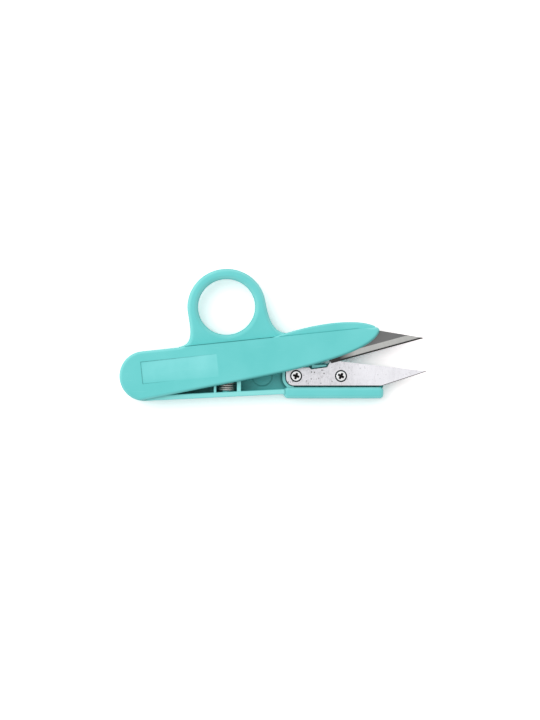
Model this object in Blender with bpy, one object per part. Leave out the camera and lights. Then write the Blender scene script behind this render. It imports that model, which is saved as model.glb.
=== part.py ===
"""Thread snips with a finger ring, as separate pieces in metres, +Z up.

Two moulded handles turn on a journal in their round tail. Each is a plate with an edge wall, and carries a
steel blade held by two countersunk screws. A coil spring between the two edge walls keeps the snips open.

Both handles are drawn alike, edge wall down and plate on the floor, about a pivot at the origin, with the
closing axis along +X. The upper one is then turned over about that axis and swung open. The snips lie on
the lower handle's plate, and the frame's origin is under the middle of the open snips.
"""

import math

import bmesh
import bpy
from mathutils import Matrix, Vector

# Layout
THICKNESS = 0.012  # over the two plates
TAIL_RADIUS = 0.0097  # the round tail, which the edge walls run out of
TAPER_DEGREES = 2.8  # edge wall to the closing axis
OPEN_DEGREES = 8.7  # upper handle to the closing axis, at rest
TIP_LAP = 0.0008  # how far the tips pass each other when the snips are shut

# Clearances
CONTACT = 0.0001  # between faces that touch
BLADE_GAP = 0.0001  # between the two blades
HANDLE_PLAY = 0.0003  # between a wall's rim and the other handle's plate
TAIL_GAP = 0.0002  # between the two tails
STOP_GAP = 0.0004  # between the walls that stop the opening, at rest
SHUT_GAP = 0.0002  # between the ribs that stop the closing, when shut

# Handles
HANDLE_LENGTH = 0.0928  # pivot to the nose, along the edge wall
PLATE = 0.002
WALL = 0.002
WALL_START = 0.0005  # where the edge wall rises from the tail's height, past the pivot
PLATE_ROUND = 0.0009
EDGE_SETBACK = 0.0006  # open edge inside the tail's circle
EDGE_SLOPE_DEGREES = 5.2  # open edge to the edge wall
NOSE_START = 0.042  # where the open edge starts to curve
NOSE_EASE_IN = 0.016
NOSE_EASE_OUT = 0.009
NOSE_DEGREES = 65.0
NOSE_HEIGHT = 0.0015  # tip of the nose above the edge wall's line
EJECTOR_RADIUS = 0.0039
EJECTOR_HEIGHT = 0.0004
EJECTOR_X = 0.0458

# Pads under the thumb and the finger
PAD_START = 0.054
PAD_INNER = 0.0043  # pad's inner face from the closing axis
PAD_OUTER = 0.00875  # finger pad's outer face from the closing axis
PAD_SETBACK = 0.0009  # below the plate's outer face
PAD_DROP = 0.0003  # below the wall's rim
PAD_ROUND = 0.0009
PAD_CORNER = 0.0013
THUMB_PAD_DEPTH = 0.0062
ARCH_START = 0.056
ARCH_SADDLE = 0.001  # saddle between ring and thumb pad, outside the wall's line
ARCH_EASE_IN = 0.012
ARCH_IN_DEGREES = 16.0
ARCH_EASE_OUT = 0.007
ARCH_OUT_DEGREES = 50.0

# Finger ring
RING_HOLE_RADIUS = 0.0108
RING_WIDTH = 0.0043
RING_DEPTH = 0.0056
RING_CORNER = 0.002
RING_BASE = 0.003  # hole to the edge wall's line
RING_X = 0.03455
WEB_DEPTH = 0.0046
WEB_ROUND = 0.0014
FLANK_INSET = 0.00055
FLANK_EASE = 0.0065
FOOT_SPREAD = 0.005
FOOT_EASE = 0.006
SADDLE_SPREAD = 0.0088
SADDLE_EASE = 0.007

# Label recess in the cover, left bare
LABEL_LENGTH = 0.030
LABEL_WIDTH = 0.0088
LABEL_DEPTH = 0.00022
LABEL_X = -0.001
LABEL_Y = 0.0013  # middle of the recess from the pivot, towards the ring

# Blades
BLADE_THICKNESS = 0.0014
BLADE_REACH = 0.1102  # pivot to tip
BLADE_HEEL = 0.0552  # pivot to heel
BLADE_BACK = 0.0037  # back edge from the closing axis
BACK_END = 0.0931
HEEL_ROUND = 0.003
TIP_HEIGHT = 0.00185  # tip over the closing axis
EDGE_START = 0.0729
EDGE_START_HEIGHT = 0.00612
EDGE_THICKNESS = 0.00015
GRIND_WIDTH = 0.00275
SHANK_HEIGHT = 0.0033
SHANK_CORNER = 0.0008
NOTCH_START = 0.0650
NOTCH_LENGTH = 0.0062
NOTCH_HEIGHT = 0.0026  # floor of the notch over the closing axis
NOTCH_LEAN = 0.0008
NOTCH_LIP_HEIGHT = 0.0048
NOTCH_CORNER = 0.0003
KEY_GAP = 0.00045  # plastic key to the notch's floor
KEY_PLAY = 0.0003  # plastic key to the notch's walls
SEAT_EDGE = 0.0048  # blade seat's open side from the closing axis
SEAT_LEAD = 0.0006  # seat's end before the heel
POCKET_WALL = 0.0013
POCKET_PLAY = 0.0002

# Blade screws
SCREW_HEAD_RADIUS = 0.00195
SCREW_RIM = 0.00015
SCREW_CONE = 0.0008
SCREW_SHANK_RADIUS = 0.0012
SCREW_LENGTH = 0.0045
SCREW_SUNK = 0.00007  # head below the blade's face
SCREW_REAR_X = 0.0591
SCREW_PITCH = 0.0175
HEAD_GAP = 0.00035
HOLE_PLAY = 0.00012
CROSS_LENGTH = 0.0026
CROSS_WIDTH = 0.00062
CROSS_DEPTH = 0.0007
REAR_CROSS_DEGREES = -18.0
FRONT_CROSS_DEGREES = -23.0

# Pivot
JOURNAL_RADIUS = 0.003
JOURNAL_PLAY = 0.0001
JOURNAL_STAND = 0.00025  # journal past the web that it turns in
PIVOT_WEB = 0.0033
BOSS_WALL = 0.0016
WASHER_RADIUS = 0.0044
WASHER_THICKNESS = 0.0006
WASHER_PLAY = 0.0004
PIVOT_HEAD_RADIUS = 0.0028
PIVOT_HEAD_HEIGHT = 0.0012
PIVOT_HEAD_ROUND = 0.0005
PIVOT_SHANK_RADIUS = 0.0012
PIVOT_SCREW_LENGTH = 0.0062
PIVOT_CROSS_LENGTH = 0.003
PIVOT_CROSS_WIDTH = 0.0007
PIVOT_CROSS_DEPTH = 0.0007

# Return spring
SPRING_X = 0.032
SPRING_RADIUS = 0.0031  # outside
SPRING_WIRE = 0.0007
SPRING_CURLS = 8
CURL_POINTS = 9
SPRING_SEAT_GAP = 0.00015
RIB_PLAY = 0.0009
REAR_RIB = 0.001
FRONT_RIB = 0.0016
RIB_DROP = 0.0002  # rib below the wall's rim
PEG_PLAY = 0.0006
PEG_HEIGHT = 0.0016

# Steps of round stretches
CIRCLE_STEPS = 40
RING_STEPS = 56
CURVE_STEPS = 14
CORNER_STEPS = 4
ROUND_STEPS = 3

# Values that follow
TAPER = math.radians(TAPER_DEGREES)
OPEN_ANGLE = math.radians(OPEN_DEGREES)
SHUT_ANGLE = math.asin((2 * TIP_HEIGHT - TIP_LAP) / BLADE_REACH)
MIDDLE = THICKNESS / 2
RIM = THICKNESS - PLATE - HANDLE_PLAY
TAIL_TOP = MIDDLE - TAIL_GAP / 2
BLADE_TOP = MIDDLE - BLADE_GAP / 2
BLADE_BOTTOM = BLADE_TOP - BLADE_THICKNESS
SEAT_TOP = BLADE_BOTTOM - CONTACT
SEAT_START = BLADE_HEEL - SEAT_LEAD
PAD_TOP = RIM - PAD_DROP
WALL_LINE = TAIL_RADIUS - WALL
SCREW_TOP = BLADE_TOP - SCREW_SUNK
WASHER_HOLE = PIVOT_SHANK_RADIUS + HOLE_PLAY
COUNTERBORE_RADIUS = WASHER_RADIUS + WASHER_PLAY
COUNTERBORE_DEPTH = TAIL_TOP - PIVOT_WEB
JOURNAL_END = COUNTERBORE_DEPTH - JOURNAL_STAND
BOSS_RADIUS = COUNTERBORE_RADIUS + BOSS_WALL
MARGIN = 0.005  # how far a cutter runs past what it cuts
LAP = 0.0004  # how deep a joined shape sinks into its neighbour

TEAL = (0.175, 0.659, 0.651)
STEEL = (0.72, 0.72, 0.74)
SPRING_STEEL = (0.45, 0.46, 0.47)


# Outlines

def polar(radius, angle, centre=(0.0, 0.0)):
    return (centre[0] + radius * math.cos(angle), centre[1] + radius * math.sin(angle))


def arc(centre, radius, start, end, steps):
    """Points along an arc, both ends included."""
    return [polar(radius, start + (end - start) * i / steps, centre) for i in range(steps + 1)]


def bezier(start, leave, arrive, end, steps=CURVE_STEPS):
    """Points along a curve that leaves start towards one point and arrives at end from another."""
    points = []
    for i in range(steps + 1):
        t = i / steps
        weights = ((1 - t) ** 3, 3 * t * (1 - t) ** 2, 3 * t * t * (1 - t), t ** 3)
        places = (start, leave, arrive, end)
        points.append(tuple(sum(w * p[k] for w, p in zip(weights, places)) for k in (0, 1)))
    return points


def turned(points, angle):
    """Points turned about the pivot."""
    turn = Matrix.Rotation(angle, 2)
    return [tuple(turn @ Vector(point)) for point in points]


def beside(start, length, angle):
    """The point at this distance and in this direction from start."""
    return polar(length, angle, start)


def rectangle(low_x, low_y, high_x, high_y):
    return [(low_x, low_y), (high_x, low_y), (high_x, high_y), (low_x, high_y)]


def rounded(corners, steps=CORNER_STEPS):
    """An outline with each corner (x, y, radius) rounded."""
    points = []
    for i, (x, y, radius) in enumerate(corners):
        corner = Vector((x, y))
        if not radius:
            points.append((x, y))
            continue
        back = (Vector(corners[i - 1][:2]) - corner).normalized()
        ahead = (Vector(corners[(i + 1) % len(corners)][:2]) - corner).normalized()
        half = back.angle(ahead) / 2
        centre = corner + (back + ahead).normalized() * (radius / math.sin(half))
        start = corner + back * (radius / math.tan(half)) - centre
        end = corner + ahead * (radius / math.tan(half)) - centre
        first = math.atan2(start.y, start.x)
        sweep = (math.atan2(end.y, end.x) - first + math.pi) % (2 * math.pi) - math.pi
        points += arc(centre, radius, first, first + sweep, steps)
    return points


# Solids

def piece(name, mesh):
    """A new object that holds this bmesh."""
    data = bpy.data.meshes.new(name)
    mesh.to_mesh(data)
    mesh.free()
    made = bpy.data.objects.new(name, data)
    bpy.context.scene.collection.objects.link(made)
    return made


def slab(name, outline, low, high, round_low=0.0, round_high=0.0, sharp_from=math.inf):
    """A flat solid between two heights. Its rims are rounded, but not those at sharp_from or above in y."""
    mesh = bmesh.new()
    face = mesh.faces.new([mesh.verts.new((x, y, low)) for x, y in outline])
    raised = bmesh.ops.extrude_face_region(mesh, geom=[face])["geom"]
    raised = [vertex for vertex in raised if isinstance(vertex, bmesh.types.BMVert)]
    bmesh.ops.translate(mesh, verts=raised, vec=(0, 0, high - low))
    bmesh.ops.recalc_face_normals(mesh, faces=mesh.faces)
    for height, width in ((low, round_low), (high, round_high)):
        if width:
            rim = [edge for edge in mesh.edges
                   if all(abs(v.co.z - height) < LAP / 100 for v in edge.verts)]
            rim = [edge for edge in rim if min(v.co.y for v in edge.verts) < sharp_from - LAP / 100]
            bmesh.ops.bevel(mesh, geom=rim, offset=width, offset_type="OFFSET", segments=ROUND_STEPS,
                            profile=0.5, affect="EDGES", clamp_overlap=True, material=-1)
    return piece(name, mesh)


def spun(name, profile, steps=CIRCLE_STEPS):
    """A solid turned about the Z axis. The profile's points are (radius, height), closed for a ring."""
    mesh = bmesh.new()
    points = [mesh.verts.new((radius, 0, height)) for radius, height in profile]
    pairs = list(zip(points, points[1:]))
    if profile[0][0] or profile[-1][0]:
        pairs.append((points[-1], points[0]))
    edges = [mesh.edges.new(pair) for pair in pairs]
    bmesh.ops.spin(mesh, geom=points + edges, cent=(0, 0, 0), axis=(0, 0, 1), angle=2 * math.pi,
                   steps=steps, use_merge=True)
    bmesh.ops.remove_doubles(mesh, verts=mesh.verts, dist=LAP / 1000)
    poles = [vertex for vertex in mesh.verts if vertex.co.xy.length < LAP / 1000]
    bmesh.ops.dissolve_verts(mesh, verts=poles)
    bmesh.ops.recalc_face_normals(mesh, faces=mesh.faces)
    return piece(name, mesh)


def cylinder(name, x, y, radius, low, high):
    made = spun(name, [(0, high), (radius, high), (radius, low), (0, low)])
    return moved(made, Matrix.Translation((x, y, 0)))


def moved(made, matrix):
    made.data.transform(matrix)
    return made


def combined(base, operation, others):
    """The base with the others joined to it or cut from it. The others are used up."""
    for other in others:
        step = base.modifiers.new(other.name, "BOOLEAN")
        step.operation = operation
        step.solver = "EXACT"
        step.object = other
    graph = bpy.context.evaluated_depsgraph_get()
    shape = bpy.data.meshes.new_from_object(base.evaluated_get(graph))
    base.modifiers.clear()
    base.data = shape
    for other in others:
        bpy.data.objects.remove(other)
    return base


def joined(base, *others):
    return combined(base, "UNION", others)


def cut(base, *others):
    return combined(base, "DIFFERENCE", others)


# Handles

def plate_outline():
    """The plate, with its edge wall along y = -TAIL_RADIUS."""
    slope = math.radians(EDGE_SLOPE_DEGREES)
    reach = TAIL_RADIUS - EDGE_SETBACK
    corner = math.pi / 2 - slope + math.acos(reach / TAIL_RADIUS)
    tail = arc((0, 0), TAIL_RADIUS, -math.pi / 2, corner - 2 * math.pi, CIRCLE_STEPS * 3 // 4)
    curve_from = (NOSE_START, reach / math.cos(slope) - NOSE_START * math.tan(slope))
    tip = (HANDLE_LENGTH, NOSE_HEIGHT - TAIL_RADIUS)
    leave = beside(curve_from, NOSE_EASE_IN, -slope)
    arrive = beside(tip, NOSE_EASE_OUT, math.pi - math.radians(NOSE_DEGREES))
    return tail + bezier(curve_from, leave, arrive, tip) + [(HANDLE_LENGTH - NOSE_HEIGHT, -TAIL_RADIUS)]


def nose_reach():
    """How far the nose reaches along the closing axis."""
    return turned([(HANDLE_LENGTH, NOSE_HEIGHT - TAIL_RADIUS)], TAPER)[0][0]


def wall_inner_at(x):
    """Inner face of the edge wall at this distance along the closing axis."""
    return x * math.tan(TAPER) - WALL_LINE / math.cos(TAPER)


def tray_cutter():
    """The hollow behind the edge wall. The tail is open where the other handle's edge wall swings."""
    stop = math.pi / 2 + OPEN_ANGLE - 2 * TAPER + (STOP_GAP - WALL_START) / TAIL_RADIUS
    outside = TAIL_RADIUS + MARGIN
    outline = arc((0, 0), WALL_LINE, -math.pi / 2, stop - 2 * math.pi, CIRCLE_STEPS * 3 // 4)
    outline += [polar(outside, stop), (SEAT_START, outside), (SEAT_START, -WALL_LINE)]
    return slab("tray_cutter", turned(outline, TAPER), PLATE, THICKNESS)


def level_cutters():
    """Cutters that bring the tail, the blade seat and the plate's open edge down to their heights."""
    outside = TAIL_RADIUS + MARGIN
    ahead = HANDLE_LENGTH + MARGIN
    tail = rectangle(-outside, -outside, WALL_START, outside)
    seat = rectangle(SEAT_START - LAP, -outside, ahead, outside)
    edge = rectangle(SEAT_START - MARGIN, SEAT_EDGE, ahead, outside)
    return [slab("tail_cutter", turned(tail, TAPER), TAIL_TOP, THICKNESS),
            slab("seat_cutter", turned(seat, TAPER), SEAT_TOP, THICKNESS),
            slab("edge_cutter", edge, PLATE, THICKNESS)]


def rib(x, thickness):
    """A rib of the spring pocket, whose end meets the other handle's rib when the snips are shut."""
    end = (x * math.sin(SHUT_ANGLE) - SHUT_GAP) / 2
    foot = wall_inner_at(x) - WALL / 2
    outline = rectangle(x - thickness / 2, foot, x + thickness / 2, end)
    return slab("rib", outline, PLATE / 2, RIM - RIB_DROP)


def spring_peg():
    """The peg on the edge wall that holds the spring's end."""
    radius = SPRING_RADIUS - SPRING_WIRE - PEG_PLAY
    profile = [(0, PEG_HEIGHT), (radius, PEG_HEIGHT), (radius, -WALL / 2), (0, -WALL / 2)]
    peg = spun("peg", profile, CIRCLE_STEPS // 2)
    place = Matrix.Translation((SPRING_X, wall_inner_at(SPRING_X), MIDDLE))
    return moved(peg, place @ Matrix.Rotation(-math.pi / 2, 4, "X"))


def heel_pocket():
    """The wall round the blade's heel."""
    centre = (BLADE_HEEL + HEEL_ROUND, HEEL_ROUND - BLADE_BACK)
    inner = HEEL_ROUND + POCKET_PLAY
    outer = inner + POCKET_WALL
    outline = [(centre[0] - outer, SHANK_HEIGHT)]
    outline += arc(centre, outer, math.pi, 1.5 * math.pi, CORNER_STEPS * 2)
    outline += arc(centre, inner, 1.5 * math.pi, math.pi, CORNER_STEPS * 2)
    outline += [(centre[0] - inner, SHANK_HEIGHT)]
    return slab("heel_pocket", outline, PLATE - LAP, TAIL_TOP)


def notch_floor(x):
    """Height of the notch's floor over the closing axis."""
    return NOTCH_HEIGHT + NOTCH_LEAN * (x - NOTCH_START) / NOTCH_LENGTH


def key():
    """The key that stands on the seat, in the blade's notch."""
    start = NOTCH_START + KEY_PLAY
    end = NOTCH_START + NOTCH_LENGTH - KEY_PLAY
    outline = [(start, notch_floor(start) + KEY_GAP), (end, notch_floor(end) + KEY_GAP),
               (end, SEAT_EDGE - LAP), (start, SEAT_EDGE - LAP)]
    return slab("key", outline, SEAT_TOP - LAP, TAIL_TOP)


def screw_places():
    return {"rear": SCREW_REAR_X, "front": SCREW_REAR_X + SCREW_PITCH}


def half(name, pad, extras=()):
    """What both handles have: plate, walls, spring pocket, blade seat, pivot boss and screw holes."""
    body = slab(name, turned(plate_outline(), TAPER), 0, RIM, round_low=PLATE_ROUND)
    cut(body, tray_cutter(), *level_cutters())
    reach = SPRING_RADIUS + RIB_PLAY
    joined(body, pad, heel_pocket(), key(), spring_peg(), *extras,
           rib(SPRING_X - reach - REAR_RIB / 2, REAR_RIB),
           rib(SPRING_X + reach + FRONT_RIB / 2, FRONT_RIB),
           cylinder("boss", 0, 0, BOSS_RADIUS, PLATE / 2, TAIL_TOP),
           cylinder("ejector_pad", EJECTOR_X, 0, EJECTOR_RADIUS, PLATE / 2, PLATE + EJECTOR_HEIGHT))
    hole_radius = SCREW_SHANK_RADIUS + HOLE_PLAY
    hole_floor = SCREW_TOP - SCREW_LENGTH - CONTACT
    return cut(body, *[cylinder("pilot_hole", x, 0, hole_radius, hole_floor, THICKNESS)
                       for x in screw_places().values()])


def finger_pad():
    """The straight pad of the lower handle."""
    corners = rectangle(PAD_START, -PAD_OUTER, nose_reach(), -PAD_INNER)
    outline = rounded([(x, y, PAD_CORNER) for x, y in corners])
    return slab("finger_pad", outline, PAD_SETBACK, PAD_TOP, PAD_ROUND, PAD_ROUND)


def thumb_pad():
    """The arched pad of the upper handle."""
    start = (ARCH_START, -TAIL_RADIUS - ARCH_SADDLE)
    end = turned([(nose_reach(), -PAD_INNER)], -TAPER)[0]
    leave = beside(start, ARCH_EASE_IN, -math.radians(ARCH_IN_DEGREES))
    arrive = beside(end, ARCH_EASE_OUT, math.pi + math.radians(ARCH_OUT_DEGREES))
    outline = turned([(PAD_START, LAP - TAIL_RADIUS)] + bezier(start, leave, arrive, end), TAPER)
    outline.append((PAD_START, -PAD_INNER))
    return slab("thumb_pad", outline, PAD_SETBACK, PAD_SETBACK + THUMB_PAD_DEPTH, PAD_ROUND, PAD_ROUND,
                sharp_from=-PAD_INNER)


def ring_centre():
    return (RING_X, -TAIL_RADIUS - RING_BASE - RING_HOLE_RADIUS)


def finger_ring():
    """The ring itself, with a rounded section."""
    inner = RING_HOLE_RADIUS
    outer = inner + RING_WIDTH
    section = rectangle(inner, MIDDLE - RING_DEPTH / 2, outer, MIDDLE + RING_DEPTH / 2)
    ring = spun("ring", rounded([(x, y, RING_CORNER) for x, y in section], ROUND_STEPS), RING_STEPS)
    x, y = turned([ring_centre()], TAPER)[0]
    return moved(ring, Matrix.Translation((x, y, 0)))


def ring_web():
    """The flared base that joins the ring to the edge wall and the thumb pad."""
    x, y = ring_centre()
    side = RING_HOLE_RADIUS + RING_WIDTH - FLANK_INSET
    foot = (x - side - FOOT_SPREAD, -TAIL_RADIUS)
    saddle = (x + side + SADDLE_SPREAD, -TAIL_RADIUS - ARCH_SADDLE)
    left = bezier((x - side, y), (x - side + FLANK_INSET, y + FLANK_EASE),
                  (foot[0] + FOOT_EASE, foot[1] - FLANK_INSET), foot)
    right = bezier((x + side, y), (x + side + FLANK_INSET, y + FLANK_EASE),
                   (saddle[0] - SADDLE_EASE, saddle[1]), saddle)
    inside = -TAIL_RADIUS + WALL / 2
    outline = left[::-1] + right + [(saddle[0], inside), (foot[0], inside)]
    web = slab("ring_web", turned(outline, TAPER), MIDDLE - WEB_DEPTH / 2, MIDDLE + WEB_DEPTH / 2,
               WEB_ROUND, WEB_ROUND)
    hole_x, hole_y = turned([(x, y)], TAPER)[0]
    hole_radius = RING_HOLE_RADIUS + RING_WIDTH / 2
    return cut(web, cylinder("hole", hole_x, hole_y, hole_radius, -MARGIN, THICKNESS))


def label_cutter():
    """The shallow recess in the cover's face, drawn along the edge wall."""
    low = -LABEL_Y - LABEL_WIDTH / 2
    label = rectangle(LABEL_X, low, LABEL_X + LABEL_LENGTH, low + LABEL_WIDTH)
    return slab("label", turned(label, TAPER), -MARGIN, LABEL_DEPTH)


def lower_handle():
    body = half("lower_handle", finger_pad())
    return cut(body, cylinder("bore", 0, 0, JOURNAL_RADIUS + JOURNAL_PLAY, -MARGIN, THICKNESS),
               cylinder("counterbore", 0, 0, COUNTERBORE_RADIUS, -MARGIN, COUNTERBORE_DEPTH))


def upper_handle():
    """Drawn as the lower one is, and turned over by turn_over()."""
    journal = cylinder("journal", 0, 0, JOURNAL_RADIUS, TAIL_TOP - MIDDLE / 2, THICKNESS - JOURNAL_END)
    body = half("upper_handle", thumb_pad(), [ring_web(), journal])
    joined(body, finger_ring())
    hole_floor = THICKNESS - JOURNAL_END - PIVOT_SCREW_LENGTH
    pilot = cylinder("pivot_hole", 0, 0, PIVOT_SHANK_RADIUS + HOLE_PLAY, hole_floor, THICKNESS + MARGIN)
    return cut(body, pilot, label_cutter())


# Blades

def blade(name):
    """A blade with its flat face up and its outer face ground to the cutting edge."""
    notch_end = NOTCH_START + NOTCH_LENGTH
    outline = rounded([
        (BLADE_HEEL, -BLADE_BACK, HEEL_ROUND),
        (BACK_END, -BLADE_BACK, 0),
        (BLADE_REACH, TIP_HEIGHT, 0),
        (EDGE_START, EDGE_START_HEIGHT, 0),
        (notch_end + NOTCH_LEAN, NOTCH_LIP_HEIGHT, NOTCH_CORNER),
        (notch_end, notch_floor(notch_end), NOTCH_CORNER),
        (NOTCH_START, notch_floor(NOTCH_START), NOTCH_CORNER),
        (NOTCH_START - NOTCH_LEAN, SHANK_HEIGHT, NOTCH_CORNER),
        (BLADE_HEEL, SHANK_HEIGHT, SHANK_CORNER),
    ])
    body = slab(name, outline, BLADE_BOTTOM, BLADE_TOP)
    return cut(body, grind_cutter(), *[countersink(x) for x in screw_places().values()])


def grind_cutter():
    """The wedge that the grinding takes off along the cutting edge."""
    run = Vector((BLADE_REACH - EDGE_START, TIP_HEIGHT - EDGE_START_HEIGHT))
    rise = BLADE_THICKNESS - EDGE_THICKNESS
    outer = GRIND_WIDTH * (1 + MARGIN / rise)
    wedge = [(0, 0), (outer, 0), (outer, outer * rise / GRIND_WIDTH)]
    lap = 0.1 * rise
    shift = lap * GRIND_WIDTH / rise
    wedge = [(out - GRIND_WIDTH - shift, up - lap) for out, up in wedge]
    start = -NOTCH_LENGTH / 2
    length = run.length + MARGIN - start
    made = slab("grind", wedge, start, start + length)
    axis = Matrix(((0, 0, 1, 0), (1, 0, 0, 0), (0, 1, 0, 0), (0, 0, 0, 1)))
    turn = Matrix.Rotation(math.atan2(run.y, run.x), 4, "Z")
    place = Matrix.Translation((EDGE_START, EDGE_START_HEIGHT, BLADE_BOTTOM))
    return moved(made, place @ turn @ axis)


def countersink(x):
    """The hole for a blade screw, wider than its head by a gap that shows."""
    top = SCREW_HEAD_RADIUS + HEAD_GAP
    bottom = SCREW_SHANK_RADIUS + HOLE_PLAY
    low = SCREW_TOP - SCREW_RIM - SCREW_CONE
    high = SCREW_TOP - SCREW_RIM
    profile = [(0, BLADE_TOP + MARGIN), (top, BLADE_TOP + MARGIN), (top, high), (bottom, low),
               (bottom, BLADE_BOTTOM - MARGIN), (0, BLADE_BOTTOM - MARGIN)]
    return moved(spun("countersink", profile), Matrix.Translation((x, 0, 0)))


# Screws and washer

def cross_recess(length, width, depth, degrees, face, down):
    """Two crossed bars that cut a driver's recess into a head, downwards or upwards from its face."""
    low, high = (face - depth, face + MARGIN) if down else (face - MARGIN, face + depth)
    bars = []
    for quarter in (0, math.pi / 2):
        bar = rectangle(-length / 2, -width / 2, length / 2, width / 2)
        bars.append(slab("cross", turned(bar, math.radians(degrees) + quarter), low, high))
    return bars


def blade_screw(name, x, degrees):
    """A countersunk screw, its head just below the blade's flat face."""
    neck = SCREW_TOP - SCREW_RIM - SCREW_CONE
    end = SCREW_TOP - SCREW_LENGTH
    profile = [(0, SCREW_TOP), (SCREW_HEAD_RADIUS, SCREW_TOP), (SCREW_HEAD_RADIUS, SCREW_TOP - SCREW_RIM),
               (SCREW_SHANK_RADIUS, neck), (SCREW_SHANK_RADIUS, end + SCREW_SHANK_RADIUS / 2),
               (SCREW_SHANK_RADIUS / 2, end), (0, end)]
    recess = cross_recess(CROSS_LENGTH, CROSS_WIDTH, CROSS_DEPTH, degrees, SCREW_TOP, True)
    return moved(cut(spun(name, profile), *recess), Matrix.Translation((x, 0, 0)))


def washer_levels():
    high = JOURNAL_END - CONTACT
    return high - WASHER_THICKNESS, high


def pivot_washer():
    low, high = washer_levels()
    return spun("pivot_washer", rectangle(WASHER_HOLE, low, WASHER_RADIUS, high))


def pivot_screw():
    """A pan-head screw driven from the back into the journal."""
    face = washer_levels()[0] - CONTACT
    head = face - PIVOT_HEAD_HEIGHT
    end = JOURNAL_END + PIVOT_SCREW_LENGTH - CONTACT
    profile = [(0, end), (PIVOT_SHANK_RADIUS / 2, end), (PIVOT_SHANK_RADIUS, end - PIVOT_SHANK_RADIUS / 2),
               (PIVOT_SHANK_RADIUS, face), (PIVOT_HEAD_RADIUS, face),
               (PIVOT_HEAD_RADIUS, head + PIVOT_HEAD_ROUND), (PIVOT_HEAD_RADIUS - PIVOT_HEAD_ROUND, head),
               (0, head)]
    recess = cross_recess(PIVOT_CROSS_LENGTH, PIVOT_CROSS_WIDTH, PIVOT_CROSS_DEPTH, 0, head, False)
    return cut(spun("pivot_screw", profile), *recess)


# Return spring

def spring_path():
    """Points along the wire: a helix between the edge walls, bent as the upper handle swings."""
    reach = -wall_inner_at(SPRING_X + SPRING_RADIUS) - SPRING_SEAT_GAP - SPRING_WIRE / 2
    radius = SPRING_RADIUS - SPRING_WIRE / 2
    count = SPRING_CURLS * CURL_POINTS
    path = []
    for i in range(count + 1):
        angle = 2 * math.pi * i / CURL_POINTS
        path.append(Vector((SPRING_X + radius * math.cos(angle), reach * (2 * i / count - 1),
                            MIDDLE + radius * math.sin(angle))))
    ends = [path[0] + (path[0] - path[1]).normalized() * SPRING_WIRE,
            path[-1] + (path[-1] - path[-2]).normalized() * SPRING_WIRE]
    path = [ends[0]] + path + [ends[1]]
    bent = []
    for point in path:
        share = min(max((point.y / reach + 1) / 2, 0), 1)
        swing = OPEN_ANGLE * share * share * (3 - 2 * share)
        bent.append(Matrix.Rotation(swing, 3, "Z") @ point)
    return bent


def return_spring():
    path = spring_path()
    apart = min((a - b).length for i, a in enumerate(path) for b in path[i + CURL_POINTS - 2:])
    gap = apart - SPRING_WIRE
    print(f"return_spring: least gap to itself {1000 * gap:.2f} mm")
    wire = bpy.data.curves.new("return_spring", "CURVE")
    wire.dimensions = "3D"
    wire.bevel_depth = SPRING_WIRE / 2
    wire.bevel_resolution = 1
    wire.use_fill_caps = True
    line = wire.splines.new("POLY")
    line.points.add(len(path) - 1)
    for point, place in zip(line.points, path):
        point.co = (*place, 1)
    made = bpy.data.objects.new("return_spring", wire)
    bpy.context.scene.collection.objects.link(made)
    return made


# Finish and assembly

def painted(made, name, colour, roughness, metallic):
    """Gives a piece its material, and shades its round faces smooth."""
    material = bpy.data.materials.new(name)
    material.use_nodes = True
    shader = material.node_tree.nodes["Principled BSDF"]
    shader.inputs["Base Color"].default_value = (*colour, 1)
    shader.inputs["Roughness"].default_value = roughness
    shader.inputs["Metallic"].default_value = metallic
    made.data.materials.clear()
    made.data.materials.append(material)
    if made.type == "MESH":
        made.data.shade_smooth()
        made.data.set_sharp_from_angle(angle=math.radians(30))
    return made


def turn_over(made):
    """Turns a piece of the upper half over about the closing axis."""
    return moved(made, Matrix.Translation((0, 0, THICKNESS)) @ Matrix.Rotation(math.pi, 4, "X"))


def empty(name, parent=None):
    made = bpy.data.objects.new(name, None)
    made.parent = parent
    bpy.context.scene.collection.objects.link(made)
    return made


def stand_on_floor(frame, pieces):
    """Moves the frame so that the origin is under the middle of the snips."""
    bpy.context.view_layer.update()
    corners = [made.matrix_world @ vertex.co for made in pieces for vertex in made.data.vertices]
    middle = [(min(c[k] for c in corners) + max(c[k] for c in corners)) / 2 for k in (0, 1)]
    frame.location = (-middle[0], -middle[1], -min(c.z for c in corners))
    print("pivot at", [round(1000 * value, 3) for value in frame.location], "mm, shut at",
          round(OPEN_DEGREES - math.degrees(SHUT_ANGLE), 3), "degrees")


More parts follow.
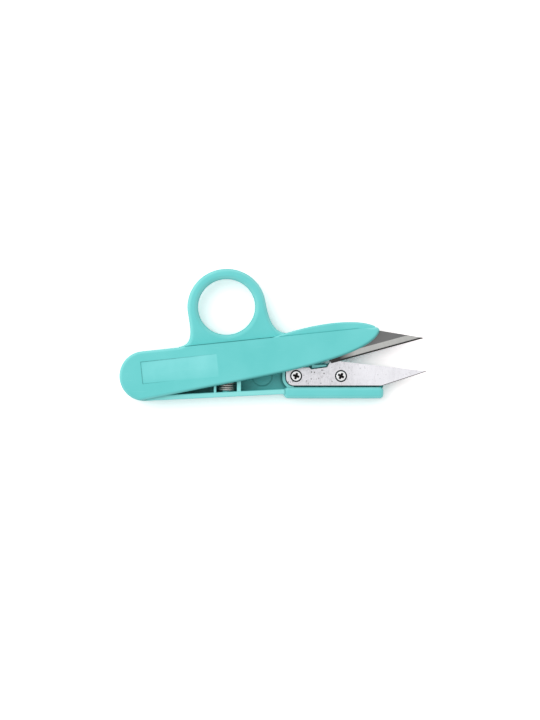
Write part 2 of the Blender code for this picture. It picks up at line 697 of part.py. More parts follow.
def build():
    for old in list(bpy.data.objects):
        bpy.data.objects.remove(old)
    lower_frame = empty("lower_frame")
    upper_frame = empty("upper_frame", lower_frame)
    upper_frame.rotation_euler.z = OPEN_ANGLE
    crosses = {"rear": REAR_CROSS_DEGREES, "front": FRONT_CROSS_DEGREES}

    lower = [painted(lower_handle(), "lower_handle_plastic", TEAL, 0.45, 0),
             painted(blade("lower_blade"), "lower_blade_steel", STEEL, 0.3, 1)]
    upper = [painted(turn_over(upper_handle()), "upper_handle_plastic", TEAL, 0.45, 0),
             painted(turn_over(blade("upper_blade")), "upper_blade_steel", STEEL, 0.35, 1)]
    for place, x in screw_places().items():
        for side, group in (("lower", lower), ("upper", upper)):
            name = f"{side}_blade_{place}_screw"
            made = painted(blade_screw(name, x, crosses[place]), name + "_steel", STEEL, 0.25, 1)
            group.append(turn_over(made) if side == "upper" else made)
    upper += [painted(pivot_screw(), "pivot_screw_steel", STEEL, 0.3, 1),
              painted(pivot_washer(), "pivot_washer_steel", STEEL, 0.35, 1)]
    spring = painted(return_spring(), "return_spring_steel", SPRING_STEEL, 0.35, 1)
    for frame, group in ((lower_frame, lower + [spring]), (upper_frame, upper)):
        for made in group:
            made.parent = frame
    stand_on_floor(lower_frame, lower + upper)


build()
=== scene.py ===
import math

import bmesh
import bpy
from mathutils import Matrix, Vector


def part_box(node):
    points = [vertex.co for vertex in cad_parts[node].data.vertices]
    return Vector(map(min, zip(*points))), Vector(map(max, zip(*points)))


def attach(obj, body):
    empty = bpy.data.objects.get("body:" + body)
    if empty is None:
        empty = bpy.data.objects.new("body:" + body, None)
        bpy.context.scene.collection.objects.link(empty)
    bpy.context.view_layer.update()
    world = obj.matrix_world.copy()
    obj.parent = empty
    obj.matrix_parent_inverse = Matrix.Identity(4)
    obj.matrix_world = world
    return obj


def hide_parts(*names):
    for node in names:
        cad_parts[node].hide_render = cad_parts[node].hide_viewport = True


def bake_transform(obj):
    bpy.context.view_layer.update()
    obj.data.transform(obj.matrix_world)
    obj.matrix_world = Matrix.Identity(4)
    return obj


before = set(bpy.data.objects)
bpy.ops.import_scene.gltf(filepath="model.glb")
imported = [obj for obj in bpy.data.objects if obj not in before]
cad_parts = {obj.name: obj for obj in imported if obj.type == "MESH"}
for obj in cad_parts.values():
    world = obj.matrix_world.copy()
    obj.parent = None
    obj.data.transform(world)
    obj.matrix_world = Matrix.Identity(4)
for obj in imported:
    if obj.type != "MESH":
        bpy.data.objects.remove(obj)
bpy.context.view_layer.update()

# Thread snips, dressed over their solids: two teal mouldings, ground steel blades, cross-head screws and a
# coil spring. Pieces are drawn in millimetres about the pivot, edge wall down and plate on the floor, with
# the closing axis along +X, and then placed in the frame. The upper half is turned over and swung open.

MM = 0.001

# Layout
THICKNESS = 12.0
MIDDLE = THICKNESS / 2
TAIL_RADIUS = 9.7
TAPER = math.radians(2.8)
OPEN_ANGLE = math.radians(8.7)
MARGIN = 5.0
LAP = 0.4
CONTACT = 0.1
SHUT_GAP = 0.2

# Handles
HANDLE_LENGTH = 92.8
PLATE = 2.0
WALL = 2.0
WALL_START = 0.5
WALL_LINE = TAIL_RADIUS - WALL
RIM = 9.7
TAIL_TOP = 5.9
EDGE_SETBACK = 0.6
EDGE_SLOPE = math.radians(5.2)
NOSE_START = 42.0
NOSE_EASE_IN = 16.0
NOSE_EASE_OUT = 9.0
NOSE_ANGLE = math.radians(65.0)
NOSE_HEIGHT = 1.5
NOSE_ROUND = 1.4
COVER_ROUND = 1.2
RIDGE_START = 14.0
RIDGE_END = 90.8
RIDGE_EASE = 5.0
RIDGE_BULGE = 1.0
RIDGE_INSET = 0.4
RIM_ROUND = 0.35
RIDGE_GROOVE = 0.3
GROOVE_OPENING = 0.2
GROOVE_GAP = 0.005
RING_GROOVE_LEAD = 2.0
RING_GROOVE_DEPTH = 0.7
PAD_GROOVE_LENGTH = 31.0
PAD_GROOVE_DEPTH = 0.25
RIB_ROUND = 0.22
STOP_GAP = 0.4
OPEN_EDGE_TURN = math.radians(30.0)
EJECTOR_X = 45.8
EJECTOR_RADIUS = 3.9
EJECTOR_TOP = 2.4
EJECTOR_EDGE = 0.15

# Pads
PAD_START = 54.0
PAD_INNER = 4.3
PAD_OUTER = 8.75
PAD_LOW = 0.9
PAD_HIGH = 9.4
PAD_ROUND = 0.95
FINGER_PAD_ROUND = 1.5
THUMB_PAD_ROUND = 0.8
PAD_BACK_CORNER = 2.1
PAD_FRONT_CORNER = 1.6
THUMB_PAD_HIGH = 7.1
ARCH_START = 50.0
ARCH_SUNK = 0.25
ARCH_EASE_IN = 19.0
ARCH_IN_ANGLE = math.radians(15.0)
ARCH_EASE_OUT = 7.0
ARCH_OUT_ANGLE = math.radians(50.0)
ARCH_BURIED = 3
BACK_GROOVE_FLOOR = PLATE + 0.2
BACK_GROOVE_LAP = 0.02

# Finger ring and its flared base
RING_HOLE = 10.95
RING_OUTER = 15.1
RING_DEPTH = 5.6
RING_ROUND = 1.6
RING_HOLE_ROUND = 1.95
HOLE_FLARE = math.radians(80.0)
HOLE_FLARE_REACH = 0.2
RING_CENTRE = (34.55, -TAIL_RADIUS - 13.8)
RING_STRETCH = Matrix.Diagonal((1.012, 0.985, 1, 1))
LEFT_LEAVE = math.radians(4.0)
RIGHT_LEAVE = math.radians(-5.0)
FOOT_REACH = 19.8
SADDLE_REACH = 23.35
SADDLE_HEIGHT = 1.0
LEFT_EASE = 7.5
RIGHT_EASE = 7.0
FOOT_EASE = (5.5, -0.3)
SADDLE_EASE = 7.0

# Label recess, left bare
LABEL_LENGTH = 30.0
LABEL_WIDTH = 8.8
LABEL_DEPTH = 0.32
LABEL_RUN_OUT = 0.28
LABEL_X = -1.0
LABEL_Y = 1.3
LABEL_CORNER = 0.35
LABEL_EDGE = 0.08

# Blades
BLADE_TOP = 5.95
BLADE_THICKNESS = 1.4
BLADE_BOTTOM = BLADE_TOP - BLADE_THICKNESS
BLADE_REACH = 110.2
BLADE_HEEL = 55.2
BLADE_BACK = 3.7
BACK_END = 93.1
HEEL_ROUND = 3.0
TIP_HEIGHT = 1.85
TIP_LAP = 0.8
EDGE_START = 72.9
EDGE_START_HEIGHT = 6.12
EDGE_THICKNESS = 0.15
GRIND_WIDTH = 2.75
HONE_WIDTH = 0.65
HONE_THICKNESS = 0.04
BLADE_EDGE_ROUND = 0.07
BACK_CHAMFER = 0.24
BACK_CHAMFER_DEPTH = 0.06
BACK_CHAMFER_CLEAR = 2.0
SHANK_HEIGHT = 3.3
SHANK_CORNER = 0.8
NOTCH_START = 65.0
NOTCH_LENGTH = 6.2
NOTCH_HEIGHT = 2.6
NOTCH_LEAN = 0.8
NOTCH_LIP_HEIGHT = 4.8
NOTCH_CORNER = 0.3
KEY_GAP = 0.45
KEY_PLAY = 0.3
KEY_EDGE = 0.12
SEAT_TOP = BLADE_BOTTOM - CONTACT
SEAT_LEAD = 0.6
SEAT_START = BLADE_HEEL - SEAT_LEAD
SEAT_EDGE = 4.8
POCKET_PLAY = 0.36
POCKET_WALL = 1.15
SHUT_ANGLE = math.asin((2 * TIP_HEIGHT - TIP_LAP) / BLADE_REACH)

# Screws and washer
SCREW_X = {"rear": 59.1, "front": 76.6}
SCREW_CROSS = {"rear": math.radians(-18.0), "front": math.radians(-28.0)}
SCREW_TOP = 5.88
SCREW_HEAD = 1.86
SCREW_RIM = 0.15
SCREW_EDGE = 0.1
SCREW_CONE = 0.8
SCREW_SHANK = 1.2
SCREW_LENGTH = 4.5
HEAD_GAP = 0.5
HEAD_GAP_DEPTH = 1.0
HOLE_PLAY = 0.12
JOURNAL = 3.0
JOURNAL_EDGE = 0.15
BORE = 3.1
COUNTERBORE = 4.8
COUNTERBORE_DEPTH = 2.6
JOURNAL_END = 2.35
BOSS = 6.4
BOSS_EDGE = 0.2
WASHER_RADIUS = 4.4
WASHER_LOW = 1.65
WASHER_HIGH = 2.25
WASHER_EDGE = 0.08
PIVOT_HEAD = 2.8
PIVOT_HEAD_LOW = 0.35
PIVOT_HEAD_HIGH = 1.55
PIVOT_HEAD_ROUND = 0.6
PIVOT_CROSS = 0.3
PIVOT_SHANK = 1.2
PIVOT_LENGTH = 6.2

# Cross recesses: length, width and depth, then the corner and the floor as shares of them
BLADE_RECESS = (3.3, 1.15, 0.9)
PIVOT_RECESS = (3.0, 0.75, 0.75)
RECESS_CORNER = 0.3
RECESS_FLOOR_LENGTH = 0.6
RECESS_FLOOR_WIDTH = 0.7

# Return spring
SPRING_X = 32.0
SPRING_RADIUS = 3.1
SPRING_WIRE = 0.7
SPRING_SEAT_GAP = 0.15
OPEN_CURLS = 4.5
CLOSED_CURLS = 3.25
CLOSED_PITCH = 1.02
CURL_POINTS = 28
RIB_PLAY = 0.9
REAR_RIB = 1.0
FRONT_RIB = 1.6
RIB_DROP = 0.2
RIB_TOP = RIM - RIB_DROP
PEG_RADIUS = 1.8
PEG_HEIGHT = 1.6
PEG_EDGE = 0.3

# Steps of round stretches, and how near counts as the same place
CIRCLE_STEPS = 96
TAIL_STEPS = 72
RING_HOLE_STEPS = 120
CURVE_STEPS = 40
RIDGE_STEPS = 12
CORNER_STEPS = 8
ROUND_STEPS = 6
EDGE_STEPS = 4
SMALL_STEPS = 3
NEAR = 0.01
LEVEL = 0.001
MERGE = 0.0005
SHARP_EDGE = math.radians(40.0)
SMOOTH_UNDER = math.radians(35.0)

# Where the drawn pieces go
washer_low, washer_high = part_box("pivot_washer")
PIVOT = Matrix.Translation(((washer_low.x + washer_high.x) / 2, (washer_low.y + washer_high.y) / 2, 0))
TO_METRES = Matrix.Scale(MM, 4)
SWING = Matrix.Rotation(OPEN_ANGLE, 4, "Z")
TURN_OVER = Matrix.Translation((0, 0, THICKNESS)) @ Matrix.Rotation(math.pi, 4, "X")
LOWER_PLACE = PIVOT @ TO_METRES
SWUNG_PLACE = PIVOT @ SWING @ TO_METRES
UPPER_PLACE = SWUNG_PLACE @ TURN_OVER
ALONG_WALL = Matrix.Rotation(TAPER, 4, "Z")
ON_ITS_SIDE = Matrix(((0, 0, 1, 0), (1, 0, 0, 0), (0, 1, 0, 0), (0, 0, 0, 1)))


# Outlines

def polar(radius, angle, centre=(0.0, 0.0)):
    return (centre[0] + radius * math.cos(angle), centre[1] + radius * math.sin(angle))


def arc(centre, radius, start, end, steps):
    """Points along an arc, both ends included."""
    return [polar(radius, start + (end - start) * i / steps, centre) for i in range(steps + 1)]


def bezier(start, leave, arrive, end, steps=CURVE_STEPS):
    """Points along a curve that leaves start towards one point and arrives at end from another."""
    points = []
    for i in range(steps + 1):
        t = i / steps
        weights = ((1 - t) ** 3, 3 * t * (1 - t) ** 2, 3 * t * t * (1 - t), t ** 3)
        places = (start, leave, arrive, end)
        points.append(tuple(sum(w * p[k] for w, p in zip(weights, places)) for k in (0, 1)))
    return points


def turned(points, angle):
    """Points turned about the pivot."""
    turn = Matrix.Rotation(angle, 2)
    return [tuple(turn @ Vector(point)) for point in points]


def rectangle(low_x, low_y, high_x, high_y):
    return [(low_x, low_y), (high_x, low_y), (high_x, high_y), (low_x, high_y)]


def rounded(corners, steps=CORNER_STEPS):
    """An outline with each corner (x, y, radius) rounded."""
    points = []
    for i, (x, y, radius) in enumerate(corners):
        corner = Vector((x, y))
        if not radius:
            points.append((x, y))
            continue
        back = (Vector(corners[i - 1][:2]) - corner).normalized()
        ahead = (Vector(corners[(i + 1) % len(corners)][:2]) - corner).normalized()
        half = back.angle(ahead) / 2
        centre = corner + (back + ahead).normalized() * (radius / math.sin(half))
        start = corner + back * (radius / math.tan(half)) - centre
        end = corner + ahead * (radius / math.tan(half)) - centre
        first = math.atan2(start.y, start.x)
        sweep = (math.atan2(end.y, end.x) - first + math.pi) % (2 * math.pi) - math.pi
        points += arc(centre, radius, first, first + sweep, steps)
    return points


# Solids

def shape(mesh, material=None):
    """A new object that holds this bmesh."""
    data = bpy.data.meshes.new("drawn")
    mesh.to_mesh(data)
    mesh.free()
    if material:
        data.materials.append(material)
    made = bpy.data.objects.new("drawn", data)
    bpy.context.scene.collection.objects.link(made)
    return made


def bevelled(mesh, edges, width, steps=ROUND_STEPS, clamp=False):
    bmesh.ops.bevel(mesh, geom=edges, offset=width, offset_type="OFFSET", segments=steps, profile=0.5,
                    affect="EDGES", clamp_overlap=clamp, material=-1)


def middle_of(first, second):
    return (Vector(first[:2]) + Vector(second[:2])) / 2


def slab(outline, low, high, round_low=0.0, round_high=0.0, soft=None, material=None):
    """A flat solid between two heights. Its rims are rounded, or just those along the points in soft."""
    mesh = bmesh.new()
    face = mesh.faces.new([mesh.verts.new((x, y, low)) for x, y in outline])
    raised = bmesh.ops.extrude_face_region(mesh, geom=[face])["geom"]
    raised = [vertex for vertex in raised if isinstance(vertex, bmesh.types.BMVert)]
    bmesh.ops.translate(mesh, verts=raised, vec=(0, 0, high - low))
    bmesh.ops.recalc_face_normals(mesh, faces=mesh.faces)
    for height, width in ((low, round_low), (high, round_high)):
        if width:
            rim = [edge for edge in mesh.edges if all(abs(v.co.z - height) < LEVEL for v in edge.verts)]
            if soft:
                places = [middle_of(*pair) for pair in zip(soft, soft[1:])]
                middles = {edge: middle_of(edge.verts[0].co, edge.verts[1].co) for edge in rim}
                rim = [edge for edge in rim if any((middles[edge] - place).length < NEAR for place in places)]
            bevelled(mesh, rim, width)
    return shape(mesh, material)


def spun(profile, steps=CIRCLE_STEPS, material=None):
    """A solid turned about the Z axis. The profile's points are (radius, height), closed for a ring."""
    mesh = bmesh.new()
    points = [mesh.verts.new((radius, 0, height)) for radius, height in profile]
    pairs = list(zip(points, points[1:]))
    if profile[0][0] or profile[-1][0]:
        pairs.append((points[-1], points[0]))
    edges = [mesh.edges.new(pair) for pair in pairs]
    bmesh.ops.spin(mesh, geom=points + edges, cent=(0, 0, 0), axis=(0, 0, 1), angle=2 * math.pi,
                   steps=steps, use_merge=True)
    bmesh.ops.remove_doubles(mesh, verts=mesh.verts, dist=MERGE)
    poles = [vertex for vertex in mesh.verts if vertex.co.xy.length < MERGE]
    bmesh.ops.dissolve_verts(mesh, verts=poles)
    bmesh.ops.recalc_face_normals(mesh, faces=mesh.faces)
    return shape(mesh, material)


def moved(made, matrix):
    made.data.transform(matrix)
    return made


def cylinder(x, y, radius, low, high, edge=0.0, material=None):
    """A disc or pin, its upper edge rounded."""
    top = [(0, high), (radius, high)]
    if edge:
        top[1:] = arc((radius - edge, high - edge), edge, math.pi / 2, 0, EDGE_STEPS)
    return moved(spun(top + [(radius, low), (0, low)], material=material), Matrix.Translation((x, y, 0)))


def applied(base):
    """The base with its modifiers worked into its mesh."""
    graph = bpy.context.evaluated_depsgraph_get()
    result = bpy.data.meshes.new_from_object(base.evaluated_get(graph))
    base.modifiers.clear()
    base.data = result
    return base


def combined(base, operation, others):
    """The base with the others joined to it or cut from it. The others are used up."""
    for other in others:
        step = base.modifiers.new("step", "BOOLEAN")
        step.operation = operation
        step.solver = "EXACT"
        step.material_mode = "TRANSFER"
        step.object = other
    applied(base)
    for other in others:
        bpy.data.objects.remove(other)
    return base


def joined(base, *others):
    return combined(base, "UNION", others)


def cut(base, *others):
    return combined(base, "DIFFERENCE", others)


def edited(base, change):
    """Runs a change on the base's bmesh."""
    mesh = bmesh.new()
    mesh.from_mesh(base.data)
    change(mesh)
    mesh.to_mesh(base.data)
    mesh.free()
    return base


# Node helpers

COLOUR = "NodeSocketColor"
VALUE = "NodeSocketFloat"
VECTOR = "NodeSocketVector"


def new_group(name, *inputs):
    """A shader node group with these inputs (name, kind, value), and the outputs that every effect has."""
    group = bpy.data.node_groups.new(name, "ShaderNodeTree")
    for socket_name, kind, value in inputs:
        socket = group.interface.new_socket(socket_name, in_out="INPUT", socket_type=kind)
        socket.default_value = value
    for socket_name, kind in (("Colour", COLOUR), ("Roughness", VALUE), ("Height", VALUE)):
        group.interface.new_socket(socket_name, in_out="OUTPUT", socket_type=kind)
    return group, group.nodes.new("NodeGroupInput").outputs, group.nodes.new("NodeGroupOutput").inputs


def feed(tree, socket, value):
    """Links a socket to another one, or sets it to a plain value."""
    if isinstance(value, bpy.types.NodeSocket):
        tree.links.new(value, socket)
    else:
        socket.default_value = value


def add(tree, kind, values=None, **settings):
    """A new node with its settings first, then its input sockets set or linked."""
    node = tree.nodes.new(kind)
    for name, value in settings.items():
        setattr(node, name, value)
    for key, value in (values or {}).items():
        feed(tree, node.inputs[key], value)
    return node


def maths(tree, operation, first, second=0.0):
    return add(tree, "ShaderNodeMath", {0: first, 1: second}, operation=operation).outputs[0]


def product(tree, first, *others):
    for other in others:
        first = maths(tree, "MULTIPLY", first, other)
    return first


def apart(tree, vector):
    """The X, Y and Z of a vector."""
    return add(tree, "ShaderNodeSeparateXYZ", {"Vector": vector}).outputs


def ramp(tree, value, from_low, from_high, to_low=0.0, to_high=1.0):
    """The value carried from one range to another, and held there."""
    node = add(tree, "ShaderNodeMapRange", {"Value": value, "From Min": from_low, "From Max": from_high,
                                            "To Min": to_low, "To Max": to_high})
    return node.outputs["Result"]


def tint(tree, factor, first, second, blend="MIX"):
    node = add(tree, "ShaderNodeMix", data_type="RGBA", blend_type=blend)
    for key, value in (("Factor_Float", factor), ("A_Color", first), ("B_Color", second)):
        feed(tree, next(s for s in node.inputs if s.identifier == key), value)
    return next(s for s in node.outputs if s.identifier == "Result_Color")


def toned(tree, colour, tones):
    """A colour whose red, green and blue are each multiplied by a tone."""
    mixed = add(tree, "ShaderNodeCombineColor", dict(enumerate(tones)))
    return tint(tree, 1.0, colour, mixed.outputs[0], "MULTIPLY")


def noise(tree, place, scale, detail=2.0, rough=0.5):
    node = add(tree, "ShaderNodeTexNoise", {"Vector": place, "Scale": scale, "Detail": detail,
                                            "Roughness": rough})
    return node.outputs["Fac"]


def swung(tree, vector, turn):
    """The X, Y and Z of a vector that is turned about the Z axis."""
    node = add(tree, "ShaderNodeVectorRotate", {"Vector": vector, "Angle": turn}, rotation_type="Z_AXIS")
    return apart(tree, node.outputs[0])


# Shared effects

CLOUD_TINT = (0.14, 0.045, 0.05)
SCRATCH_STRETCH = (120, 2600, 900)
SCRATCH_TURN = (0, 0, 0.6)
SCRATCH_TINT = 0.22
RIM_FADE = 0.00006
PIT_SCALE = 1000.0


def moulded_skin():
    """Satin moulded plastic: cloudy colour, fine grain, hair scratches, rims made pale by wear and a painted
    highlight.
    """
    tree, given, out = new_group(
        "moulded_skin", ("Colour", COLOUR, (0.2, 0.6, 0.6, 1)), ("Worn And Lit Colour", COLOUR, (0.3, 0.7, 0.7, 1)),
        ("Worn And Lit Amount", VALUE, 0.4), ("Rim Height", VALUE, 1.0), ("Roughness", VALUE, 0.4))
    coordinates = add(tree, "ShaderNodeTexCoord").outputs
    place = coordinates["Object"]
    upright = maths(tree, "ABSOLUTE", apart(tree, coordinates["Normal"])["Z"])
    cloud = noise(tree, place, 55.0, 3.0)
    grain = noise(tree, place, 3200.0)
    streak = add(tree, "ShaderNodeMapping", {"Vector": place, "Scale": SCRATCH_STRETCH,
                                             "Rotation": SCRATCH_TURN})
    hairs = ramp(tree, noise(tree, streak.outputs[0], 1.0, 1.0), 0.70, 0.76)
    scratch = product(tree, hairs, ramp(tree, upright, 0.9, 0.97))
    # Rounded rims are made pale: partly wear by hands, partly a painted highlight where light catches them.
    bent = product(tree, ramp(tree, upright, 0.985, 0.8), ramp(tree, upright, 0.3, 0.6))
    wear_and_highlight = product(tree, bent, ramp(tree, cloud, 0.35, 0.6, 0.45, 1.0), given["Worn And Lit Amount"])
    # Up-facing faces above Rim Height are made pale: partly rubbed wear, partly a painted highlight.
    over_rim = maths(tree, "SUBTRACT", apart(tree, place)["Z"], given["Rim Height"])
    rubbed_and_lit = product(tree, ramp(tree, over_rim, 0.0, RIM_FADE, 0.0, 0.9), ramp(tree, upright, 0.5, 0.9))
    wear_and_highlight = maths(tree, "MAXIMUM", wear_and_highlight, rubbed_and_lit)
    tones = [ramp(tree, cloud, 0.3, 0.7, 1 - depth, 1 + depth) for depth in CLOUD_TINT]
    worn_and_lit = tint(tree, wear_and_highlight, toned(tree, given["Colour"], tones), given["Worn And Lit Colour"])
    scratched = tint(tree, product(tree, scratch, SCRATCH_TINT), worn_and_lit, given["Worn And Lit Colour"])
    rough = maths(tree, "ADD", given["Roughness"], ramp(tree, grain, 0.3, 0.7, -0.05, 0.05))
    rough = maths(tree, "ADD", rough, ramp(tree, cloud, 0.3, 0.7, 0.06, -0.06))
    rough = maths(tree, "SUBTRACT", rough, product(tree, wear_and_highlight, 0.1))
    feed(tree, out["Colour"], scratched)
    feed(tree, out["Roughness"], maths(tree, "ADD", rough, product(tree, scratch, 0.08)))
    feed(tree, out["Height"], maths(tree, "SUBTRACT", grain, product(tree, scratch, 0.5)))
    return tree


def ground_metal():
    """Ground steel: fine parallel lines, cloudy polish and dark pits."""
    tree, given, out = new_group(
        "ground_metal", ("Colour", COLOUR, (0.8, 0.8, 0.8, 1)), ("Pit Colour", COLOUR, (0.1, 0.1, 0.1, 1)),
        ("Stretch", VECTOR, (4000, 60, 60)), ("Turn", VALUE, 0.0), ("Lines", VALUE, 0.1),
        ("Pits", VALUE, 0.0), ("Roughness", VALUE, 0.3))
    place = add(tree, "ShaderNodeTexCoord").outputs["Object"]
    turn = add(tree, "ShaderNodeVectorRotate", {"Vector": place, "Angle": given["Turn"]},
               rotation_type="Z_AXIS")
    stretched = add(tree, "ShaderNodeVectorMath", {0: turn.outputs[0], 1: given["Stretch"]},
                    operation="MULTIPLY")
    lines = noise(tree, stretched.outputs[0], 1.0, 3.0, 0.6)
    cloud = noise(tree, place, 180.0, 3.0)
    dots = add(tree, "ShaderNodeTexVoronoi", {"Vector": place, "Scale": PIT_SCALE, "Randomness": 1.0}).outputs
    chosen = add(tree, "ShaderNodeSeparateColor", {0: dots["Color"]}).outputs[0]
    pit = product(tree, ramp(tree, dots["Distance"], 0.32, 0.18),
                  ramp(tree, noise(tree, place, 300.0), 0.4, 0.6),
                  ramp(tree, chosen, 0.45, 0.5), given["Pits"])
    tone = product(tree, maths(tree, "SUBTRACT", lines, 0.5), given["Lines"])
    tone = maths(tree, "ADD", tone, ramp(tree, cloud, 0.3, 0.7, 0.965, 1.02))
    stain = ramp(tree, noise(tree, place, 900.0, 3.0, 0.7), 0.45, 0.65, 0.0, 0.14)
    tone = maths(tree, "SUBTRACT", tone, product(tree, stain, given["Pits"]))
    polished = toned(tree, given["Colour"], (tone, tone, tone))
    rough = maths(tree, "ADD", given["Roughness"], ramp(tree, lines, 0.3, 0.7, -0.05, 0.06))
    feed(tree, out["Colour"], tint(tree, pit, polished, given["Pit Colour"]))
    feed(tree, out["Roughness"], maths(tree, "ADD", rough, product(tree, pit, 0.3)))
    feed(tree, out["Height"], maths(tree, "SUBTRACT", lines, pit))
    return tree


SKIN = moulded_skin()
GROUND = ground_metal()


# Materials

TEAL = (0.150, 0.645, 0.637, 1)
# Pale teal for wear and scratches, and for painted highlights on rims and tops.
TEAL_WORN_AND_LIT = (0.290, 0.790, 0.770, 1)
TEAL_LABEL = (0.225, 0.735, 0.735, 1)
# Darker teal: painted shade along the label recess's border.
TEAL_LABEL_BORDER_SHADE = (0.050, 0.330, 0.330, 1)
# Dark teal: painted shade under the open edge and in the lower handle's hollows and gaps.
TEAL_PAINTED_SHADE = (0.015, 0.200, 0.190, 1)
PLASTIC_ROUGHNESS = 0.42
PLASTIC_SPECULAR = 0.28
# How much the rims are made pale, as wear and as painted highlight.
PLASTIC_WEAR_AND_HIGHLIGHT = 0.65
PLASTIC_BUMP = 0.6
PLASTIC_GRAIN = 0.00004
PIT_COLOUR = (0.10, 0.09, 0.09, 1)
CLEAN_PITS = 0.25
STEEL_BUMP = 0.15
STEEL_GRAIN = 0.00002


def new_material(name, metallic):
    material = bpy.data.materials.new(name)
    material.use_nodes = True
    tree = material.node_tree
    shader = tree.nodes["Principled BSDF"]
    shader.inputs["Metallic"].default_value = metallic
    return material, tree, shader


def dressed(tree, shader, group, values, strength, distance):
    """Puts a shared effect into a material, with its own values."""
    effect = add(tree, "ShaderNodeGroup", values, node_tree=group).outputs
    bump = add(tree, "ShaderNodeBump", {"Strength": strength, "Distance": distance,
                                        "Height": effect["Height"]})
    feed(tree, shader.inputs["Base Color"], effect["Colour"])
    feed(tree, shader.inputs["Roughness"], effect["Roughness"])
    feed(tree, shader.inputs["Normal"], bump.outputs[0])


def drawn_point(tree, place, turn=0.0):
    """Where a point is in the drawing, in millimetres about the pivot."""
    pivot = PIVOT.to_translation()
    centred = add(tree, "ShaderNodeVectorMath", {0: place, 1: tuple(-pivot)}, operation="ADD")
    scaled = add(tree, "ShaderNodeVectorMath", {0: centred.outputs[0], "Scale": 1 / MM}, operation="SCALE")
    return swung(tree, scaled.outputs[0], turn)


def fading(tree, point):
    """Gives masks that fade along one axis of the drawing, from a start to an end."""
    return lambda axis, *span: ramp(tree, point[axis], *span)


def away_from(tree, point, x, y):
    """Distance in plan from a place in the drawing."""
    across = maths(tree, "SUBTRACT", point["X"], x)
    up = maths(tree, "SUBTRACT", point["Y"], y)
    return maths(tree, "SQRT", maths(tree, "ADD", product(tree, across, across), product(tree, up, up)))


def upper_colour(tree):
    """Teal with a paler bare label recess, painted shade on the recess's border at its tail end and under the
    open edge.
    """
    coordinates = add(tree, "ShaderNodeTexCoord").outputs
    place = coordinates["Object"]
    point = drawn_point(tree, place, TAPER - OPEN_ANGLE)
    normal = swung(tree, coordinates["Normal"], TAPER - OPEN_ANGLE)
    fade = fading(tree, point)
    along = maths(tree, "SUBTRACT", point["X"], LABEL_X)
    across = maths(tree, "SUBTRACT", point["Y"], LABEL_Y)
    to_side = maths(tree, "SUBTRACT", LABEL_WIDTH / 2, maths(tree, "ABSOLUTE", across))
    to_border = maths(tree, "MINIMUM", to_side, along)
    inside = product(tree, ramp(tree, to_border, -0.02, 0.1), fade("Z", THICKNESS - 0.5, THICKNESS - 0.4))
    paler = product(tree, inside, ramp(tree, along, 0.0, 20.0, 0.65, 1.0),
                    ramp(tree, along, LABEL_LENGTH, LABEL_LENGTH - 0.4),
                    ramp(tree, across, -LABEL_WIDTH / 2, -0.5, 0.3, 1.0),
                    ramp(tree, noise(tree, place, 160.0), 0.35, 0.6, 0.7, 1.0))
    patchy = ramp(tree, noise(tree, place, 700.0), 0.3, 0.55, 0.35, 0.75)
    # Painted shade along the label recess's border, strongest at its tail end.
    from_tail = maths(tree, "ADD", along, ramp(tree, across, 0.0, -2.0, 0.0, 8.0))
    painted_shade_mask = product(tree, inside, ramp(tree, to_border, 0.32, 0.2), patchy, ramp(tree, from_tail, 24.0, 8.0))
    # Painted shade under the cover's open edge, on faces turned down towards the blades.
    turned_down = maths(tree, "SUBTRACT", product(tree, normal["X"], math.sin(OPEN_EDGE_TURN)),
                        product(tree, normal["Y"], math.cos(OPEN_EDGE_TURN)))
    under = product(tree, ramp(tree, turned_down, 0.2, 0.65), fade("X", 2.0, 20.0),
                    fade("Y", TAIL_RADIUS, TAIL_RADIUS - 1.0),
                    fade("Z", MIDDLE + 1.0, THICKNESS - PLATE + 0.5, 0.1, 0.42))
    label = tint(tree, painted_shade_mask, tint(tree, paler, TEAL, TEAL_LABEL), TEAL_LABEL_BORDER_SHADE)
    return tint(tree, under, label, TEAL_PAINTED_SHADE), under


